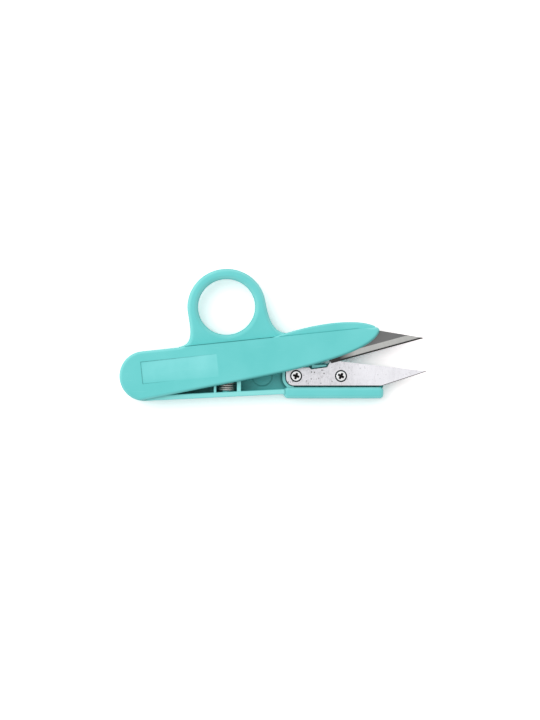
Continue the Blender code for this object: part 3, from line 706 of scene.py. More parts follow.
def lower_colour(tree):
    """Teal, pale on tops where the other half rubs and lit there by painted light; painted shade in its
    hollows and gaps.
    """
    coordinates = add(tree, "ShaderNodeTexCoord").outputs
    place = coordinates["Object"]
    point = drawn_point(tree, place)
    normal = apart(tree, coordinates["Normal"])
    fade = fading(tree, point)
    # Up-facing tops at the tail's height are made pale: wear where the other half rubs, and painted light
    # that lifts the key out of the cover's shade.
    rubbed_tops_and_painted_light = product(tree, fade("Z", TAIL_TOP - 0.2, TAIL_TOP - 0.1), ramp(tree, normal["Z"], 0.5, 0.9),
                   fade("Z", TAIL_TOP + 0.3, TAIL_TOP + 0.2, 0.0, 0.9))
    patchy = ramp(tree, noise(tree, place, 400.0, 3.0), 0.3, 0.7, 0.75, 1.0)
    # Painted shade in the tray under the cover, strongest towards the tail.
    from_wall = maths(tree, "SUBTRACT", point["Y"], product(tree, point["X"], math.tan(TAPER)))
    tray = product(tree, ramp(tree, from_wall, -WALL_LINE - 0.3, -WALL_LINE), fade("X", 0.0, 3.0),
                   fade("Z", RIM - 1.0, PLATE + 0.5), patchy, fade("X", 46.0, 24.0, 0.05, 0.8))
    heel_x = BLADE_HEEL + HEEL_ROUND
    heel = HEEL_ROUND + POCKET_PLAY + POCKET_WALL
    # Painted shade round the foot of the heel pocket.
    from_heel = away_from(tree, point, heel_x, HEEL_ROUND - BLADE_BACK)
    foot = product(tree, ramp(tree, from_heel, heel + 1.2, heel + 0.2), fade("Z", TAIL_TOP, TAIL_TOP - 0.5),
                   fade("X", heel_x + 1.0, heel_x, 0.0, 0.85))
    # Painted shade round the edge of the ejector mark.
    from_mark = maths(tree, "SUBTRACT", away_from(tree, point, EJECTOR_X, 0.0), EJECTOR_RADIUS)
    mark = product(tree, ramp(tree, maths(tree, "ABSOLUTE", from_mark), 0.5, 0.15, 0.0, 0.4),
                   fade("Z", EJECTOR_TOP + 0.4, EJECTOR_TOP + 0.2))
    # Painted shade on the pad's shoulder beside the gap to the blade.
    gap = product(tree, fade("Y", -PAD_INNER - 1.2, -PAD_INNER - 0.4),
                  fade("Y", -BLADE_BACK + 1.0, -BLADE_BACK + 0.5),
                  fade("X", PAD_START + 2.0, PAD_START + 6.0),
                  fade("Z", PAD_HIGH - 0.1, PAD_HIGH - FINGER_PAD_ROUND, 0.0, 0.6))
    # Painted shade in the back groove beside the heel.
    groove = product(tree, fade("Y", -PAD_INNER - 0.1, -PAD_INNER, 0.0, 0.9),
                     fade("Y", -BLADE_BACK + 0.5, -BLADE_BACK + 0.3),
                     fade("X", BLADE_HEEL, heel_x), fade("Z", 5.3, 4.9))
    notch_end = NOTCH_START + NOTCH_LENGTH
    # Painted shade round the key in the blade's notch.
    around_key = product(tree, fade("Y", NOTCH_HEIGHT - 0.6, NOTCH_HEIGHT - 0.4, 0.0, 0.85),
                         fade("Y", SEAT_EDGE, SEAT_EDGE - 0.2),
                         fade("X", NOTCH_START - 1.0, NOTCH_START - 0.8),
                         fade("X", notch_end + 1.2, notch_end + 1.0),
                         fade("Z", TAIL_TOP - 0.15, TAIL_TOP - 0.4))
    # All the lower handle's painted shade, kept off its outer face.
    painted_shade_mask = tray
    for patch in (foot, mark, gap, groove, around_key):
        painted_shade_mask = maths(tree, "MAXIMUM", painted_shade_mask, patch)
    painted_shade_mask = product(tree, painted_shade_mask, fade("Z", PLATE - 0.3, PLATE - 0.1))
    return tint(tree, rubbed_tops_and_painted_light, tint(tree, painted_shade_mask, TEAL, TEAL_PAINTED_SHADE), TEAL_WORN_AND_LIT), painted_shade_mask


def teal_plastic(name, rim_height, colouring):
    """The handles' plastic. Rims above rim_height are made pale by wear and a painted highlight, fading where
    painted shade lies.
    """
    material, tree, shader = new_material(name, 0.0)
    shader.inputs["Specular IOR Level"].default_value = PLASTIC_SPECULAR
    colour, painted_shade_mask = colouring(tree)
    # Rims are made pale, as wear and painted highlight, only where no painted shade lies.
    wear_and_highlight = ramp(tree, painted_shade_mask, 0.0, 0.4, PLASTIC_WEAR_AND_HIGHLIGHT, 0.0)
    dressed(tree, shader, SKIN, {"Colour": colour, "Worn And Lit Colour": TEAL_WORN_AND_LIT, "Worn And Lit Amount": wear_and_highlight,
                                 "Rim Height": rim_height * MM, "Roughness": PLASTIC_ROUGHNESS},
            PLASTIC_BUMP, PLASTIC_GRAIN)
    return material


def steel(name, colour, roughness, stretch, turn=0.0, lines=0.1, pits=0.0, rear_dulling_and_shadow=None):
    """Ground steel. Given (brightness, start, end), its rear is darker and more pitted: duller shanks,
    painted shadow on bevels.
    """
    material, tree, shader = new_material(name, 1.0)
    colour = (*colour, 1)
    if rear_dulling_and_shadow:
        brightness, start, end = rear_dulling_and_shadow
        point = drawn_point(tree, add(tree, "ShaderNodeTexCoord").outputs["Object"])
        rear = ramp(tree, point["X"], start, end, 1.0, 0.0)
        colour = tint(tree, rear, colour, tuple(part * brightness for part in colour[:3]) + (1,))
        pits = ramp(tree, rear, 0.0, 1.0, CLEAN_PITS * pits, pits)
    dressed(tree, shader, GROUND, {"Colour": colour, "Pit Colour": PIT_COLOUR, "Stretch": stretch,
                                   "Turn": turn, "Lines": lines, "Pits": pits, "Roughness": roughness},
            STEEL_BUMP, STEEL_GRAIN)
    return material


ACROSS = (5000, 90, 90)
ALONG = (90, 5000, 5000)
EVEN = (900, 900, 900)
SHANK_DULL = (0.85, 75, 87)
# The bevel's rear is darkened: painted shadow where the cover overhangs the blade.
BEVEL_PAINTED_SHADOW = (0.1, 76, 82)
UPPER_PLASTIC = teal_plastic("upper_handle_teal", THICKNESS + 1, upper_colour)
LOWER_PLASTIC = teal_plastic("lower_handle_teal", PAD_HIGH + 0.02, lower_colour)
FLAT_STEEL = steel("blade_flat_face_steel", (0.78, 0.772, 0.81), 0.3, ACROSS, 0.15, 0.10, 1.0, SHANK_DULL)
OUTER_STEEL = steel("blade_outer_face_steel", (0.175, 0.174, 0.174), 0.34, ALONG, -0.15, 0.12)
# The bevel steel, darkened at its rear by painted shadow.
GROUND_STEEL = steel("blade_ground_bevel_steel", (0.50, 0.50, 0.485), 0.36, ACROSS, -0.5, 0.30, 0.2,
                     BEVEL_PAINTED_SHADOW)
# Near-black steel: painted dark reflection on the honed cutting edge and the back chamfer.
EDGE_PAINTED_REFLECTION = steel("blade_edge_painted_dark_reflection", (0.045, 0.043, 0.042), 0.36, ACROSS, -0.5, 0.20)
SCREW_STEEL = steel("screw_head_steel", (0.86, 0.86, 0.87), 0.16, EVEN, 0.0, 0.08)
# Near-black steel: painted shade in the screw recesses and countersink gaps.
RECESS_PAINTED_SHADE = steel("screw_recess_painted_shade", (0.014, 0.013, 0.013), 0.5, EVEN, 0.0, 0.3)
SPRING_STEEL = steel("spring_wire_steel", (0.46, 0.445, 0.425), 0.6, ALONG, 0.0, 0.2)
WASHER_STEEL = steel("washer_steel", (0.62, 0.62, 0.63), 0.3, EVEN, 0.0, 0.15)


# Handles

def plate_outline(bulge=0.0):
    """The plate, with its edge wall along y = -TAIL_RADIUS, or bulging past that line where the ridge is."""
    reach = TAIL_RADIUS - EDGE_SETBACK
    corner = math.pi / 2 - EDGE_SLOPE + math.acos(reach / TAIL_RADIUS)
    tail = arc((0, 0), TAIL_RADIUS, -math.pi / 2, corner - 2 * math.pi, TAIL_STEPS)
    curve_from = (NOSE_START, reach / math.cos(EDGE_SLOPE) - NOSE_START * math.tan(EDGE_SLOPE))
    centre = (HANDLE_LENGTH - NOSE_ROUND, NOSE_ROUND - TAIL_RADIUS)
    end = arc(centre, NOSE_ROUND, math.pi / 2 - NOSE_ANGLE, -math.pi / 2, 2 * CORNER_STEPS)
    leave = polar(NOSE_EASE_IN, -EDGE_SLOPE, curve_from)
    arrive = polar(NOSE_EASE_OUT, math.pi - NOSE_ANGLE, end[0])
    outline = tail + bezier(curve_from, leave, arrive, end[0]) + end[1:]
    if bulge:
        for start, stop, first, last in ((RIDGE_END, RIDGE_END - RIDGE_EASE, 0, bulge),
                                         (RIDGE_START + RIDGE_EASE, RIDGE_START, bulge, 0)):
            middle = (start + stop) / 2
            outline += bezier((start, -TAIL_RADIUS - first), (middle, -TAIL_RADIUS - first),
                              (middle, -TAIL_RADIUS - last), (stop, -TAIL_RADIUS - last), RIDGE_STEPS)
    return outline


def plate(ridge):
    """The plate and its edge wall in one block. With a ridge, its rounding runs out sharp along the wall."""
    if not ridge:
        return slab(turned(plate_outline(), TAPER), 0, RIM, COVER_ROUND, RIM_ROUND)
    body = slab(plate_outline(RIDGE_BULGE), 0, RIM, COVER_ROUND, RIM_ROUND)
    outside = -TAIL_RADIUS - MARGIN
    off = rectangle(RIDGE_START + RIDGE_INSET, outside, RIDGE_END - RIDGE_INSET, -TAIL_RADIUS)
    cut(body, slab(off, -MARGIN, THICKNESS))
    return moved(body, ALONG_WALL)


def nose_reach():
    """How far the nose reaches along the closing axis."""
    return turned([(HANDLE_LENGTH, NOSE_HEIGHT - TAIL_RADIUS)], TAPER)[0][0]


def wall_inner_at(x):
    """Inner face of the edge wall at this distance along the closing axis."""
    return x * math.tan(TAPER) - WALL_LINE / math.cos(TAPER)


def tray_cutter():
    """The hollow behind the edge wall. The tail is open where the other handle's edge wall swings."""
    stop = math.pi / 2 + OPEN_ANGLE - 2 * TAPER + (STOP_GAP - WALL_START) / TAIL_RADIUS
    outside = TAIL_RADIUS + MARGIN
    outline = arc((0, 0), WALL_LINE, -math.pi / 2, stop - 2 * math.pi, TAIL_STEPS)
    outline += [polar(outside, stop), (SEAT_START, outside), (SEAT_START, -WALL_LINE)]
    return slab(turned(outline, TAPER), PLATE, THICKNESS)


def rim_cutter():
    """Takes the corner off the edge wall's inner rim, in four flats that make it round."""
    flats = 4
    turns = [math.pi / 2 * (i + 0.5) / flats for i in range(flats)]
    side = RIM_ROUND * 2 * math.tan(math.pi / 4 / flats)
    point = Vector((-WALL_LINE - RIM_ROUND - side, RIM + math.tan(turns[0]) * side / 2))
    outline = [tuple(point)]
    for i, turn in enumerate(turns):
        length = side * 1.5 if i in (0, flats - 1) else side
        point += Vector((math.cos(turn), -math.sin(turn))) * length
        outline.append(tuple(point))
    inward = MARGIN - WALL_LINE
    outline += [(inward, outline[-1][1]), (inward, THICKNESS), (outline[0][0], THICKNESS)]
    return moved(slab(outline, -TAIL_RADIUS, SEAT_START), ALONG_WALL @ ON_ITS_SIDE)


def level_cutters():
    """Cutters that bring the tail, the blade seat and the plate's open edge down to their heights."""
    outside = TAIL_RADIUS + MARGIN
    ahead = HANDLE_LENGTH + MARGIN
    tail = rectangle(-outside, -outside, WALL_START, outside)
    seat = rectangle(SEAT_START - LAP, -outside, ahead, outside)
    edge = rectangle(SEAT_START - MARGIN, SEAT_EDGE, ahead, outside)
    return [slab(turned(tail, TAPER), TAIL_TOP, THICKNESS),
            slab(turned(seat, TAPER), SEAT_TOP, THICKNESS),
            slab(edge, PLATE, THICKNESS)]


def rib(x, thickness):
    """A rib of the spring pocket, whose end meets the other handle's rib when the snips are shut."""
    end = (x * math.sin(SHUT_ANGLE) - SHUT_GAP) / 2
    foot = wall_inner_at(x) - WALL / 2
    outline = rectangle(x - thickness / 2, foot, x + thickness / 2, end)
    return slab(outline, PLATE / 2, RIB_TOP, round_high=RIB_ROUND)


def spring_peg():
    """The peg on the edge wall that holds the spring's end."""
    peg = cylinder(0, 0, PEG_RADIUS, -WALL / 2, PEG_HEIGHT, PEG_EDGE)
    place = Matrix.Translation((SPRING_X, wall_inner_at(SPRING_X), MIDDLE))
    return moved(peg, place @ Matrix.Rotation(-math.pi / 2, 4, "X"))


def heel_pocket():
    """The wall round the blade's heel."""
    centre = (BLADE_HEEL + HEEL_ROUND, HEEL_ROUND - BLADE_BACK)
    inner = HEEL_ROUND + POCKET_PLAY
    outer = inner + POCKET_WALL
    outline = [(centre[0] - outer, SHANK_HEIGHT)]
    outline += arc(centre, outer, math.pi, 1.5 * math.pi, CORNER_STEPS * 3)
    outline += arc(centre, inner, 1.5 * math.pi, math.pi, CORNER_STEPS * 3)
    outline += [(centre[0] - inner, SHANK_HEIGHT)]
    return slab(outline, PLATE - LAP, TAIL_TOP, round_high=RIB_ROUND)


def notch_floor(x):
    """Height of the notch's floor over the closing axis."""
    return NOTCH_HEIGHT + NOTCH_LEAN * (x - NOTCH_START) / NOTCH_LENGTH


def key():
    """The key that stands on the seat, in the blade's notch."""
    start = NOTCH_START + KEY_PLAY
    end = NOTCH_START + NOTCH_LENGTH - KEY_PLAY
    outline = [(start, notch_floor(start) + KEY_GAP), (end, notch_floor(end) + KEY_GAP),
               (end, SEAT_EDGE - LAP), (start, SEAT_EDGE - LAP)]
    return slab(outline, SEAT_TOP - LAP, TAIL_TOP, round_high=KEY_EDGE)


def half(pad, extras=(), ridge=False):
    """What both handles have: plate, walls, spring pocket, blade seat, pivot boss and screw holes."""
    body = plate(ridge)
    cut(body, tray_cutter(), rim_cutter(), *level_cutters())
    reach = SPRING_RADIUS + RIB_PLAY
    joined(body, pad, heel_pocket(), key(), spring_peg(), *extras,
           rib(SPRING_X - reach - REAR_RIB / 2, REAR_RIB),
           rib(SPRING_X + reach + FRONT_RIB / 2, FRONT_RIB),
           cylinder(0, 0, BOSS, PLATE / 2, TAIL_TOP, BOSS_EDGE),
           cylinder(EJECTOR_X, 0, EJECTOR_RADIUS, PLATE / 2, EJECTOR_TOP, EJECTOR_EDGE))
    floor = SCREW_TOP - SCREW_LENGTH - CONTACT
    return cut(body, back_groove(),
               *[cylinder(x, 0, SCREW_SHANK + HOLE_PLAY, floor, THICKNESS) for x in SCREW_X.values()])


def finger_pad():
    """The straight pad of the lower handle."""
    corners = rectangle(PAD_START, -PAD_OUTER, nose_reach(), -PAD_INNER)
    outline = rounded([(x, y, PAD_BACK_CORNER if x == PAD_START else PAD_FRONT_CORNER) for x, y in corners])
    return slab(outline, PAD_LOW, PAD_HIGH, PAD_ROUND, FINGER_PAD_ROUND)


def back_groove():
    """The groove in the seat between the blade's back and the pad, which shows as a dark line."""
    start = BLADE_HEEL + HEEL_ROUND
    end = nose_reach() - PAD_FRONT_CORNER
    outline = rectangle(start, -PAD_INNER - BACK_GROOVE_LAP, end, LAP - BLADE_BACK)
    return slab(outline, BACK_GROOVE_FLOOR, BLADE_BOTTOM + LAP)


def thumb_pad():
    """The arched pad of the upper handle, which rises out of the edge wall without a step."""
    start = (ARCH_START, ARCH_SUNK - TAIL_RADIUS)
    end = turned([(nose_reach(), -PAD_INNER)], -TAPER)[0]
    leave = polar(ARCH_EASE_IN, -ARCH_IN_ANGLE, start)
    arrive = polar(ARCH_EASE_OUT, math.pi + ARCH_OUT_ANGLE, end)
    arch = bezier(start, leave, arrive, end)[:-ARCH_BURIED]
    inward = polar(PAD_ROUND, math.pi / 2 + ARCH_OUT_ANGLE, arch[-1])
    sunk = -WALL_LINE - LAP
    outline = [(PAD_START, sunk), (ARCH_START - PAD_ROUND, sunk)] + arch + [inward]
    outline = turned(outline, TAPER) + [(PAD_START, -PAD_INNER)]
    return slab(outline, PAD_LOW, THUMB_PAD_HIGH, THUMB_PAD_ROUND, THUMB_PAD_ROUND, soft=turned(arch, TAPER))


def finger_ring():
    """The ring and the flared base that runs into the edge wall, drawn in one line."""
    x, y = RING_CENTRE
    left = polar(RING_OUTER, math.pi - LEFT_LEAVE, RING_CENTRE)
    right = polar(RING_OUTER, RIGHT_LEAVE, RING_CENTRE)
    foot = (x - FOOT_REACH, -TAIL_RADIUS)
    saddle = (x + SADDLE_REACH, -TAIL_RADIUS - SADDLE_HEIGHT)
    left_flank = bezier(left, polar(LEFT_EASE, math.pi / 2 - LEFT_LEAVE, left),
                        (foot[0] + FOOT_EASE[0], foot[1] + FOOT_EASE[1]), foot)
    over = arc(RING_CENTRE, RING_OUTER, RIGHT_LEAVE, -math.pi - LEFT_LEAVE, CIRCLE_STEPS)
    right_flank = bezier(right, polar(RIGHT_EASE, math.pi / 2 + RIGHT_LEAVE, right),
                         (saddle[0] - SADDLE_EASE, saddle[1]), saddle)
    inside = -WALL_LINE - CONTACT
    free = right_flank[::-1] + over[1:] + left_flank[1:]
    outline = free + [(foot[0], inside), (saddle[0], inside)]
    low = MIDDLE - RING_DEPTH / 2
    high = MIDDLE + RING_DEPTH / 2
    body = slab(outline, low, high, RING_ROUND, RING_ROUND, soft=free)
    middle = RING_HOLE + RING_HOLE_ROUND
    upper = arc((middle, high - RING_HOLE_ROUND), RING_HOLE_ROUND, math.pi, math.pi - HOLE_FLARE, ROUND_STEPS)
    lower = arc((middle, low + RING_HOLE_ROUND), RING_HOLE_ROUND, math.pi + HOLE_FLARE, math.pi, ROUND_STEPS)
    step = polar(HOLE_FLARE_REACH, math.pi / 2 - HOLE_FLARE)
    above = (upper[-1][0] + step[0], upper[-1][1] + step[1])
    below = (lower[0][0] + step[0], lower[0][1] - step[1])
    profile = [(0, low - MARGIN), (below[0], low - MARGIN), below] + lower + upper
    profile += [above, (above[0], high + MARGIN), (0, high + MARGIN)]
    to_centre = Matrix.Translation((x, y, 0))
    cut(body, moved(spun(profile, RING_HOLE_STEPS), to_centre))
    moved(body, to_centre @ RING_STRETCH @ to_centre.inverted())
    return moved(body, ALONG_WALL)


def ridge_grooves():
    """Thin grooves where the ring's base and the thumb pad meet the cover, so a dark line parts them."""
    ring_start = RING_CENTRE[0] - FOOT_REACH + RING_GROOVE_LEAD
    ring_end = RING_CENTRE[0] + SADDLE_REACH
    grooves = []
    for start, end, face, depth in ((ring_start, ring_end, MIDDLE - RING_DEPTH / 2, RING_GROOVE_DEPTH),
                                    (PAD_START, PAD_START + PAD_GROOVE_LENGTH, PAD_LOW, PAD_GROOVE_DEPTH)):
        outline = rectangle(start, -TAIL_RADIUS - RIDGE_GROOVE, end, -TAIL_RADIUS - GROOVE_GAP)
        grooves.append(moved(slab(outline, face - GROOVE_OPENING, face + depth), ALONG_WALL))
    return grooves


def label_cutter():
    """The shallow recess in the cover's face, which runs out towards its front end."""
    low = -LABEL_Y - LABEL_WIDTH / 2
    corners = rectangle(LABEL_X, low, LABEL_X + LABEL_LENGTH, low + LABEL_WIDTH)
    outline = rounded([(x, y, LABEL_CORNER) for x, y in corners])
    made = slab(outline, -MARGIN, LABEL_DEPTH, round_high=LABEL_EDGE)
    return moved(made, ALONG_WALL @ Matrix.Rotation(LABEL_RUN_OUT / LABEL_LENGTH, 4, "Y"))


def lower_handle():
    body = half(finger_pad())
    stepped = [(0, THICKNESS), (BORE, THICKNESS), (BORE, COUNTERBORE_DEPTH),
               (COUNTERBORE, COUNTERBORE_DEPTH), (COUNTERBORE, -MARGIN), (0, -MARGIN)]
    return cut(body, spun(stepped))


def upper_handle():
    journal = cylinder(0, 0, JOURNAL, TAIL_TOP - MIDDLE / 2, THICKNESS - JOURNAL_END, JOURNAL_EDGE)
    body = half(thumb_pad(), [finger_ring(), journal], ridge=True)
    floor = THICKNESS - JOURNAL_END - PIVOT_LENGTH
    return cut(body, cylinder(0, 0, PIVOT_SHANK + HOLE_PLAY, floor, THICKNESS + MARGIN), label_cutter(),
               *ridge_grooves())


# Blades

def edge_cutter(start, end, height, section, before, after, material):
    """A cutter along a blade's edge, which is on its left. Its section is (out, up) from the edge."""
    run = Vector(end) - Vector(start)
    made = slab(section, -before, run.length + after, material=material)
    turn = Matrix.Rotation(math.atan2(run.y, run.x), 4, "Z")
    return moved(made, Matrix.Translation((*start, height)) @ turn @ ON_ITS_SIDE)


def grind_cutter(width, edge_thickness, material):
    """A wedge that grinding takes off along the cutting edge, from this width inwards."""
    left_on = EDGE_THICKNESS + (BLADE_THICKNESS - EDGE_THICKNESS) * width / GRIND_WIDTH
    rise = left_on - edge_thickness
    base = BLADE_TOP - left_on
    outer = width * (1 + MARGIN / rise)
    lap = 0.1 * rise
    shift = lap * width / rise
    wedge = [(0, 0), (outer, 0), (outer, outer * rise / width)]
    wedge = [(out - width - shift, up - lap) for out, up in wedge]
    return edge_cutter((EDGE_START, EDGE_START_HEIGHT), (BLADE_REACH, TIP_HEIGHT), base, wedge,
                       NOTCH_LENGTH / 2, MARGIN, material)


def back_chamfer():
    """The narrow chamfer on the flat face along the point's slanted back."""
    clear = BACK_CHAMFER_CLEAR
    slope = BACK_CHAMFER_DEPTH / BACK_CHAMFER
    section = [(-BACK_CHAMFER - clear, clear * slope), (clear, -(BACK_CHAMFER + clear) * slope),
               (clear, clear * slope)]
    # The chamfer's faces take the near-black painted dark reflection.
    return edge_cutter((BLADE_REACH, TIP_HEIGHT), (BACK_END, -BLADE_BACK), BLADE_TOP, section,
                       MARGIN, MARGIN, EDGE_PAINTED_REFLECTION)


def countersink(x):
    """The hole for a blade screw, wider than its head by a gap whose faces are painted dark as shade."""
    top = SCREW_HEAD + HEAD_GAP
    bottom = SCREW_SHANK + HOLE_PLAY
    high = SCREW_TOP - HEAD_GAP_DEPTH
    profile = [(0, BLADE_TOP + MARGIN), (top, BLADE_TOP + MARGIN), (top, high), (bottom, high - SCREW_CONE),
               (bottom, BLADE_BOTTOM - MARGIN), (0, BLADE_BOTTOM - MARGIN)]
    return moved(spun(profile, material=RECESS_PAINTED_SHADE), Matrix.Translation((x, 0, 0)))


def soften_blade(mesh):
    """Breaks the blade's sharp edges, apart from the cutting edge's own line."""
    mesh.normal_update()
    sharp = [edge for edge in mesh.edges if len(edge.link_faces) == 2
             and edge.calc_face_angle() > SHARP_EDGE and edge.is_convex
             and abs(edge.verts[0].co.z - edge.verts[1].co.z) < LEVEL]
    bevelled(mesh, sharp, BLADE_EDGE_ROUND, 2, clamp=True)


def outer_face(mesh):
    """Gives the blade's outer face its dark finish."""
    mesh.normal_update()
    for face in mesh.faces:
        if face.normal.z < LEVEL - 1 and face.calc_center_median().z < BLADE_BOTTOM + NEAR:
            face.material_index = 1


def blade():
    """A blade with its flat face up and its outer face ground to the cutting edge."""
    notch_end = NOTCH_START + NOTCH_LENGTH
    outline = rounded([
        (BLADE_HEEL, -BLADE_BACK, HEEL_ROUND),
        (BACK_END, -BLADE_BACK, 0),
        (BLADE_REACH, TIP_HEIGHT, 0),
        (EDGE_START, EDGE_START_HEIGHT, 0),
        (notch_end + NOTCH_LEAN, NOTCH_LIP_HEIGHT, NOTCH_CORNER),
        (notch_end, notch_floor(notch_end), NOTCH_CORNER),
        (NOTCH_START, notch_floor(NOTCH_START), NOTCH_CORNER),
        (NOTCH_START - NOTCH_LEAN, SHANK_HEIGHT, NOTCH_CORNER),
        (BLADE_HEEL, SHANK_HEIGHT, SHANK_CORNER),
    ])
    body = slab(outline, BLADE_BOTTOM, BLADE_TOP, material=FLAT_STEEL)
    body.data.materials.append(OUTER_STEEL)
    edited(body, outer_face)
    cut(body, back_chamfer())
    cut(body, grind_cutter(GRIND_WIDTH, EDGE_THICKNESS, GROUND_STEEL))
    # The honed strip takes the near-black painted dark reflection.
    cut(body, grind_cutter(HONE_WIDTH, HONE_THICKNESS, EDGE_PAINTED_REFLECTION))
    edited(body, soften_blade)
    return cut(body, *[countersink(x) for x in SCREW_X.values()])


# Screws and washer

def cross_recess(length, width, depth, angle, face, down):
    """Two crossed bars that cut a driver's recess into a head, narrower towards its floor."""
    corners = rectangle(-length / 2, -width / 2, length / 2, width / 2)
    outline = rounded([(x, y, width * RECESS_CORNER) for x, y in corners], SMALL_STEPS)
    flip = Matrix.Identity(4) if down else Matrix.Rotation(math.pi, 4, "X")
    bars = []
    for quarter in (0, math.pi / 2):
        # The recess's faces take the near-black painted shade.
        bar = slab(outline, -depth, 1.0, material=RECESS_PAINTED_SHADE)
        for vertex in bar.data.vertices:
            if vertex.co.z < 0:
                vertex.co.x *= RECESS_FLOOR_LENGTH
                vertex.co.y *= RECESS_FLOOR_WIDTH
        turn = Matrix.Rotation(angle + quarter, 4, "Z")
        bars.append(moved(bar, Matrix.Translation((0, 0, face)) @ flip @ turn))
    return bars


def blade_screw(place):
    """A countersunk screw, its head just below the blade's flat face."""
    neck = SCREW_TOP - SCREW_RIM - SCREW_CONE
    end = SCREW_TOP - SCREW_LENGTH
    edge = (SCREW_HEAD - SCREW_EDGE, SCREW_TOP - SCREW_EDGE)
    profile = [(0, SCREW_TOP)] + arc(edge, SCREW_EDGE, math.pi / 2, 0, EDGE_STEPS)
    profile += [(SCREW_HEAD, SCREW_TOP - SCREW_RIM), (SCREW_SHANK, neck),
                (SCREW_SHANK, end + SCREW_SHANK / 2), (SCREW_SHANK / 2, end), (0, end)]
    head = spun(profile, material=SCREW_STEEL)
    cut(head, *cross_recess(*BLADE_RECESS, SCREW_CROSS[place], SCREW_TOP, True))
    return moved(head, Matrix.Translation((SCREW_X[place], 0, 0)))


def pivot_washer():
    corners = rectangle(PIVOT_SHANK + HOLE_PLAY, WASHER_LOW, WASHER_RADIUS, WASHER_HIGH)
    return spun(rounded([(x, y, WASHER_EDGE) for x, y in corners], SMALL_STEPS), material=WASHER_STEEL)


def pivot_screw():
    """A pan-head screw driven from the back into the journal."""
    end = JOURNAL_END + PIVOT_LENGTH - CONTACT
    dome_centre = (PIVOT_HEAD - PIVOT_HEAD_ROUND, PIVOT_HEAD_LOW + PIVOT_HEAD_ROUND)
    profile = [(0, end), (PIVOT_SHANK / 2, end), (PIVOT_SHANK, end - PIVOT_SHANK / 2),
               (PIVOT_SHANK, PIVOT_HEAD_HIGH), (PIVOT_HEAD, PIVOT_HEAD_HIGH)]
    profile += arc(dome_centre, PIVOT_HEAD_ROUND, 0, -math.pi / 2, ROUND_STEPS) + [(0, PIVOT_HEAD_LOW)]
    head = spun(profile, material=SCREW_STEEL)
    return cut(head, *cross_recess(*PIVOT_RECESS, PIVOT_CROSS, PIVOT_HEAD_LOW, False))


# Return spring

def spring_path():
    """Points along the wire: a helix with closed ends between the edge walls, bent as the handle swings."""
    reach = -wall_inner_at(SPRING_X + SPRING_RADIUS) - SPRING_SEAT_GAP - SPRING_WIRE / 2
    radius = SPRING_RADIUS - SPRING_WIRE / 2
    curls = OPEN_CURLS + 2 * CLOSED_CURLS
    closed = CLOSED_CURLS * SPRING_WIRE * CLOSED_PITCH
    count = round(curls * CURL_POINTS)
    bent = []
    for i in range(count + 1):
        turns = curls * i / count
        if turns < CLOSED_CURLS:
            along = closed * turns / CLOSED_CURLS
        elif turns > curls - CLOSED_CURLS:
            along = 2 * reach - closed * (curls - turns) / CLOSED_CURLS
        else:
            along = closed + (2 * reach - 2 * closed) * (turns - CLOSED_CURLS) / OPEN_CURLS
        angle = 2 * math.pi * turns
        across, up = polar(radius, angle, (SPRING_X, MIDDLE))
        point = Vector((across, along - reach, up))
        share = along / (2 * reach)
        swing = OPEN_ANGLE * share * share * (3 - 2 * share)
        bent.append(Matrix.Rotation(swing, 3, "Z") @ point)
    return bent


def return_spring():
    wire = bpy.data.curves.new("wire", "CURVE")
    wire.dimensions = "3D"
    wire.bevel_depth = SPRING_WIRE / 2
    wire.bevel_resolution = EDGE_STEPS
    wire.use_fill_caps = True
    path = spring_path()
    line = wire.splines.new("POLY")
    line.points.add(len(path) - 1)
    for point, place in zip(line.points, path):
        point.co = (*place, 1)
    bent = bpy.data.objects.new("wire", wire)
    bpy.context.scene.collection.objects.link(bent)
    data = bpy.data.meshes.new_from_object(bent)
    bpy.data.objects.remove(bent)
    data.materials.clear()
    data.materials.append(SPRING_STEEL)
    made = bpy.data.objects.new("drawn", data)
    bpy.context.scene.collection.objects.link(made)
    return edited(made, lambda mesh: bmesh.ops.remove_doubles(mesh, verts=mesh.verts, dist=MERGE))


# Assembly

def finished(made, name, place, node, material=None):
    """Names a drawn piece, puts it in its place and shades its round faces smooth."""
    made.name = name
    made.data.name = name
    moved(made, place)
    if material:
        made.data.materials.clear()
        made.data.materials.append(material)
    made.data.shade_smooth()
    made.data.set_sharp_from_angle(angle=SMOOTH_UNDER)
    normals = made.modifiers.new("flat_faces_stay_flat", "WEIGHTED_NORMAL")
    normals.keep_sharp = True
    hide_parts(node)
    return made


def dress():
    lower = [finished(lower_handle(), "lower_handle_moulding", LOWER_PLACE, "lower_handle",
                      LOWER_PLASTIC),
             finished(blade(), "lower_cutting_blade", LOWER_PLACE, "lower_blade")]
    upper = [finished(upper_handle(), "upper_handle_moulding", UPPER_PLACE, "upper_handle",
                      UPPER_PLASTIC),
             finished(blade(), "upper_cutting_blade", UPPER_PLACE, "upper_blade"),
             finished(pivot_screw(), "tail_pivot_screw", SWUNG_PLACE, "pivot_screw"),
             finished(pivot_washer(), "tail_pivot_washer", SWUNG_PLACE, "pivot_washer")]
    for place in SCREW_X:
        lower.append(finished(blade_screw(place), f"lower_{place}_cross_screw", LOWER_PLACE,
                              f"lower_blade_{place}_screw"))
        upper.append(finished(blade_screw(place), f"upper_{place}_cross_screw", UPPER_PLACE,
                              f"upper_blade_{place}_screw"))
    for piece in lower:
        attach(piece, "lower_half")
    for piece in upper:
        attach(piece, "upper_half")
    spring = finished(return_spring(), "coil_return_spring", LOWER_PLACE, "return_spring")
    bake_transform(spring)


# Floor, light and camera

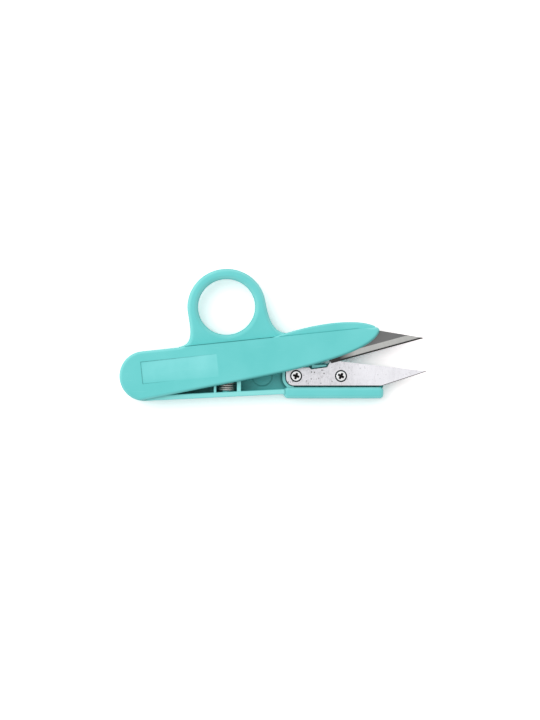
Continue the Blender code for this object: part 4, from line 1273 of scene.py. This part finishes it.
VIEW_CENTRE = (-0.00135, -0.00992)
PIXEL = 0.00039
IMAGE_HEIGHT = 720
CAMERA_DISTANCE = 2.0
SENSOR_WIDTH = 36
FLOOR_SIZE = 3.0
PAPER_LIT = (0.88, 0.88, 0.88, 1)
PAPER_MIRRORED = (1.0, 1.0, 1.0, 1)
PAPER_SEEN = (1.56, 1.5, 1.5, 1)
SKY_LIT = 0.66
KEY_PLACE = (-0.55, 0.42, 0.85)
KEY_SIZE = 1.2
KEY_POWER = 6.6


def seen_by(tree):
    """Says of a ray whether it comes from the camera, and whether it shows in gloss or glass."""
    path = add(tree, "ShaderNodeLightPath").outputs
    return path["Is Camera Ray"], maths(tree, "MAXIMUM", path["Is Glossy Ray"], path["Is Transmission Ray"])


def white_floor():
    mesh = bmesh.new()
    bmesh.ops.create_grid(mesh, x_segments=1, y_segments=1, size=FLOOR_SIZE)
    floor = shape(mesh)
    floor.name = "white_floor"
    material = bpy.data.materials.new("white_paper")
    material.use_nodes = True
    tree = material.node_tree
    tree.nodes.clear()
    camera, mirrored = seen_by(tree)
    white = tint(tree, camera, tint(tree, mirrored, PAPER_LIT, PAPER_MIRRORED), PAPER_SEEN)
    paper = add(tree, "ShaderNodeBsdfDiffuse", {"Color": white})
    add(tree, "ShaderNodeOutputMaterial", {"Surface": paper.outputs[0]})
    floor.data.materials.append(material)


def studio_light():
    world = bpy.data.worlds.new("studio")
    bpy.context.scene.world = world
    world.use_nodes = True
    tree = world.node_tree
    sky = tree.nodes["Background"]
    sky.inputs["Color"].default_value = (1, 1, 1, 1)
    bright = maths(tree, "MAXIMUM", *seen_by(tree))
    tree.links.new(ramp(tree, bright, 0.0, 1.0, SKY_LIT, 1.0), sky.inputs["Strength"])
    lamp = bpy.data.lights.new("key", "AREA")
    lamp.shape = "DISK"
    lamp.size = KEY_SIZE
    lamp.energy = KEY_POWER
    made = bpy.data.objects.new("key", lamp)
    made.location = KEY_PLACE
    made.rotation_euler = (-made.location).to_track_quat("-Z", "Y").to_euler()
    bpy.context.scene.collection.objects.link(made)


def camera_above():
    data = bpy.data.cameras.new("camera")
    made = bpy.data.objects.new("camera", data)
    made.location = (*VIEW_CENTRE, CAMERA_DISTANCE + MIDDLE * MM)
    data.sensor_width = SENSOR_WIDTH
    data.lens = SENSOR_WIDTH * CAMERA_DISTANCE / (PIXEL * IMAGE_HEIGHT)
    bpy.context.scene.collection.objects.link(made)
    bpy.context.scene.camera = made


dress()
white_floor()
studio_light()
camera_above()
bpy.context.scene.view_settings.view_transform = "Standard"
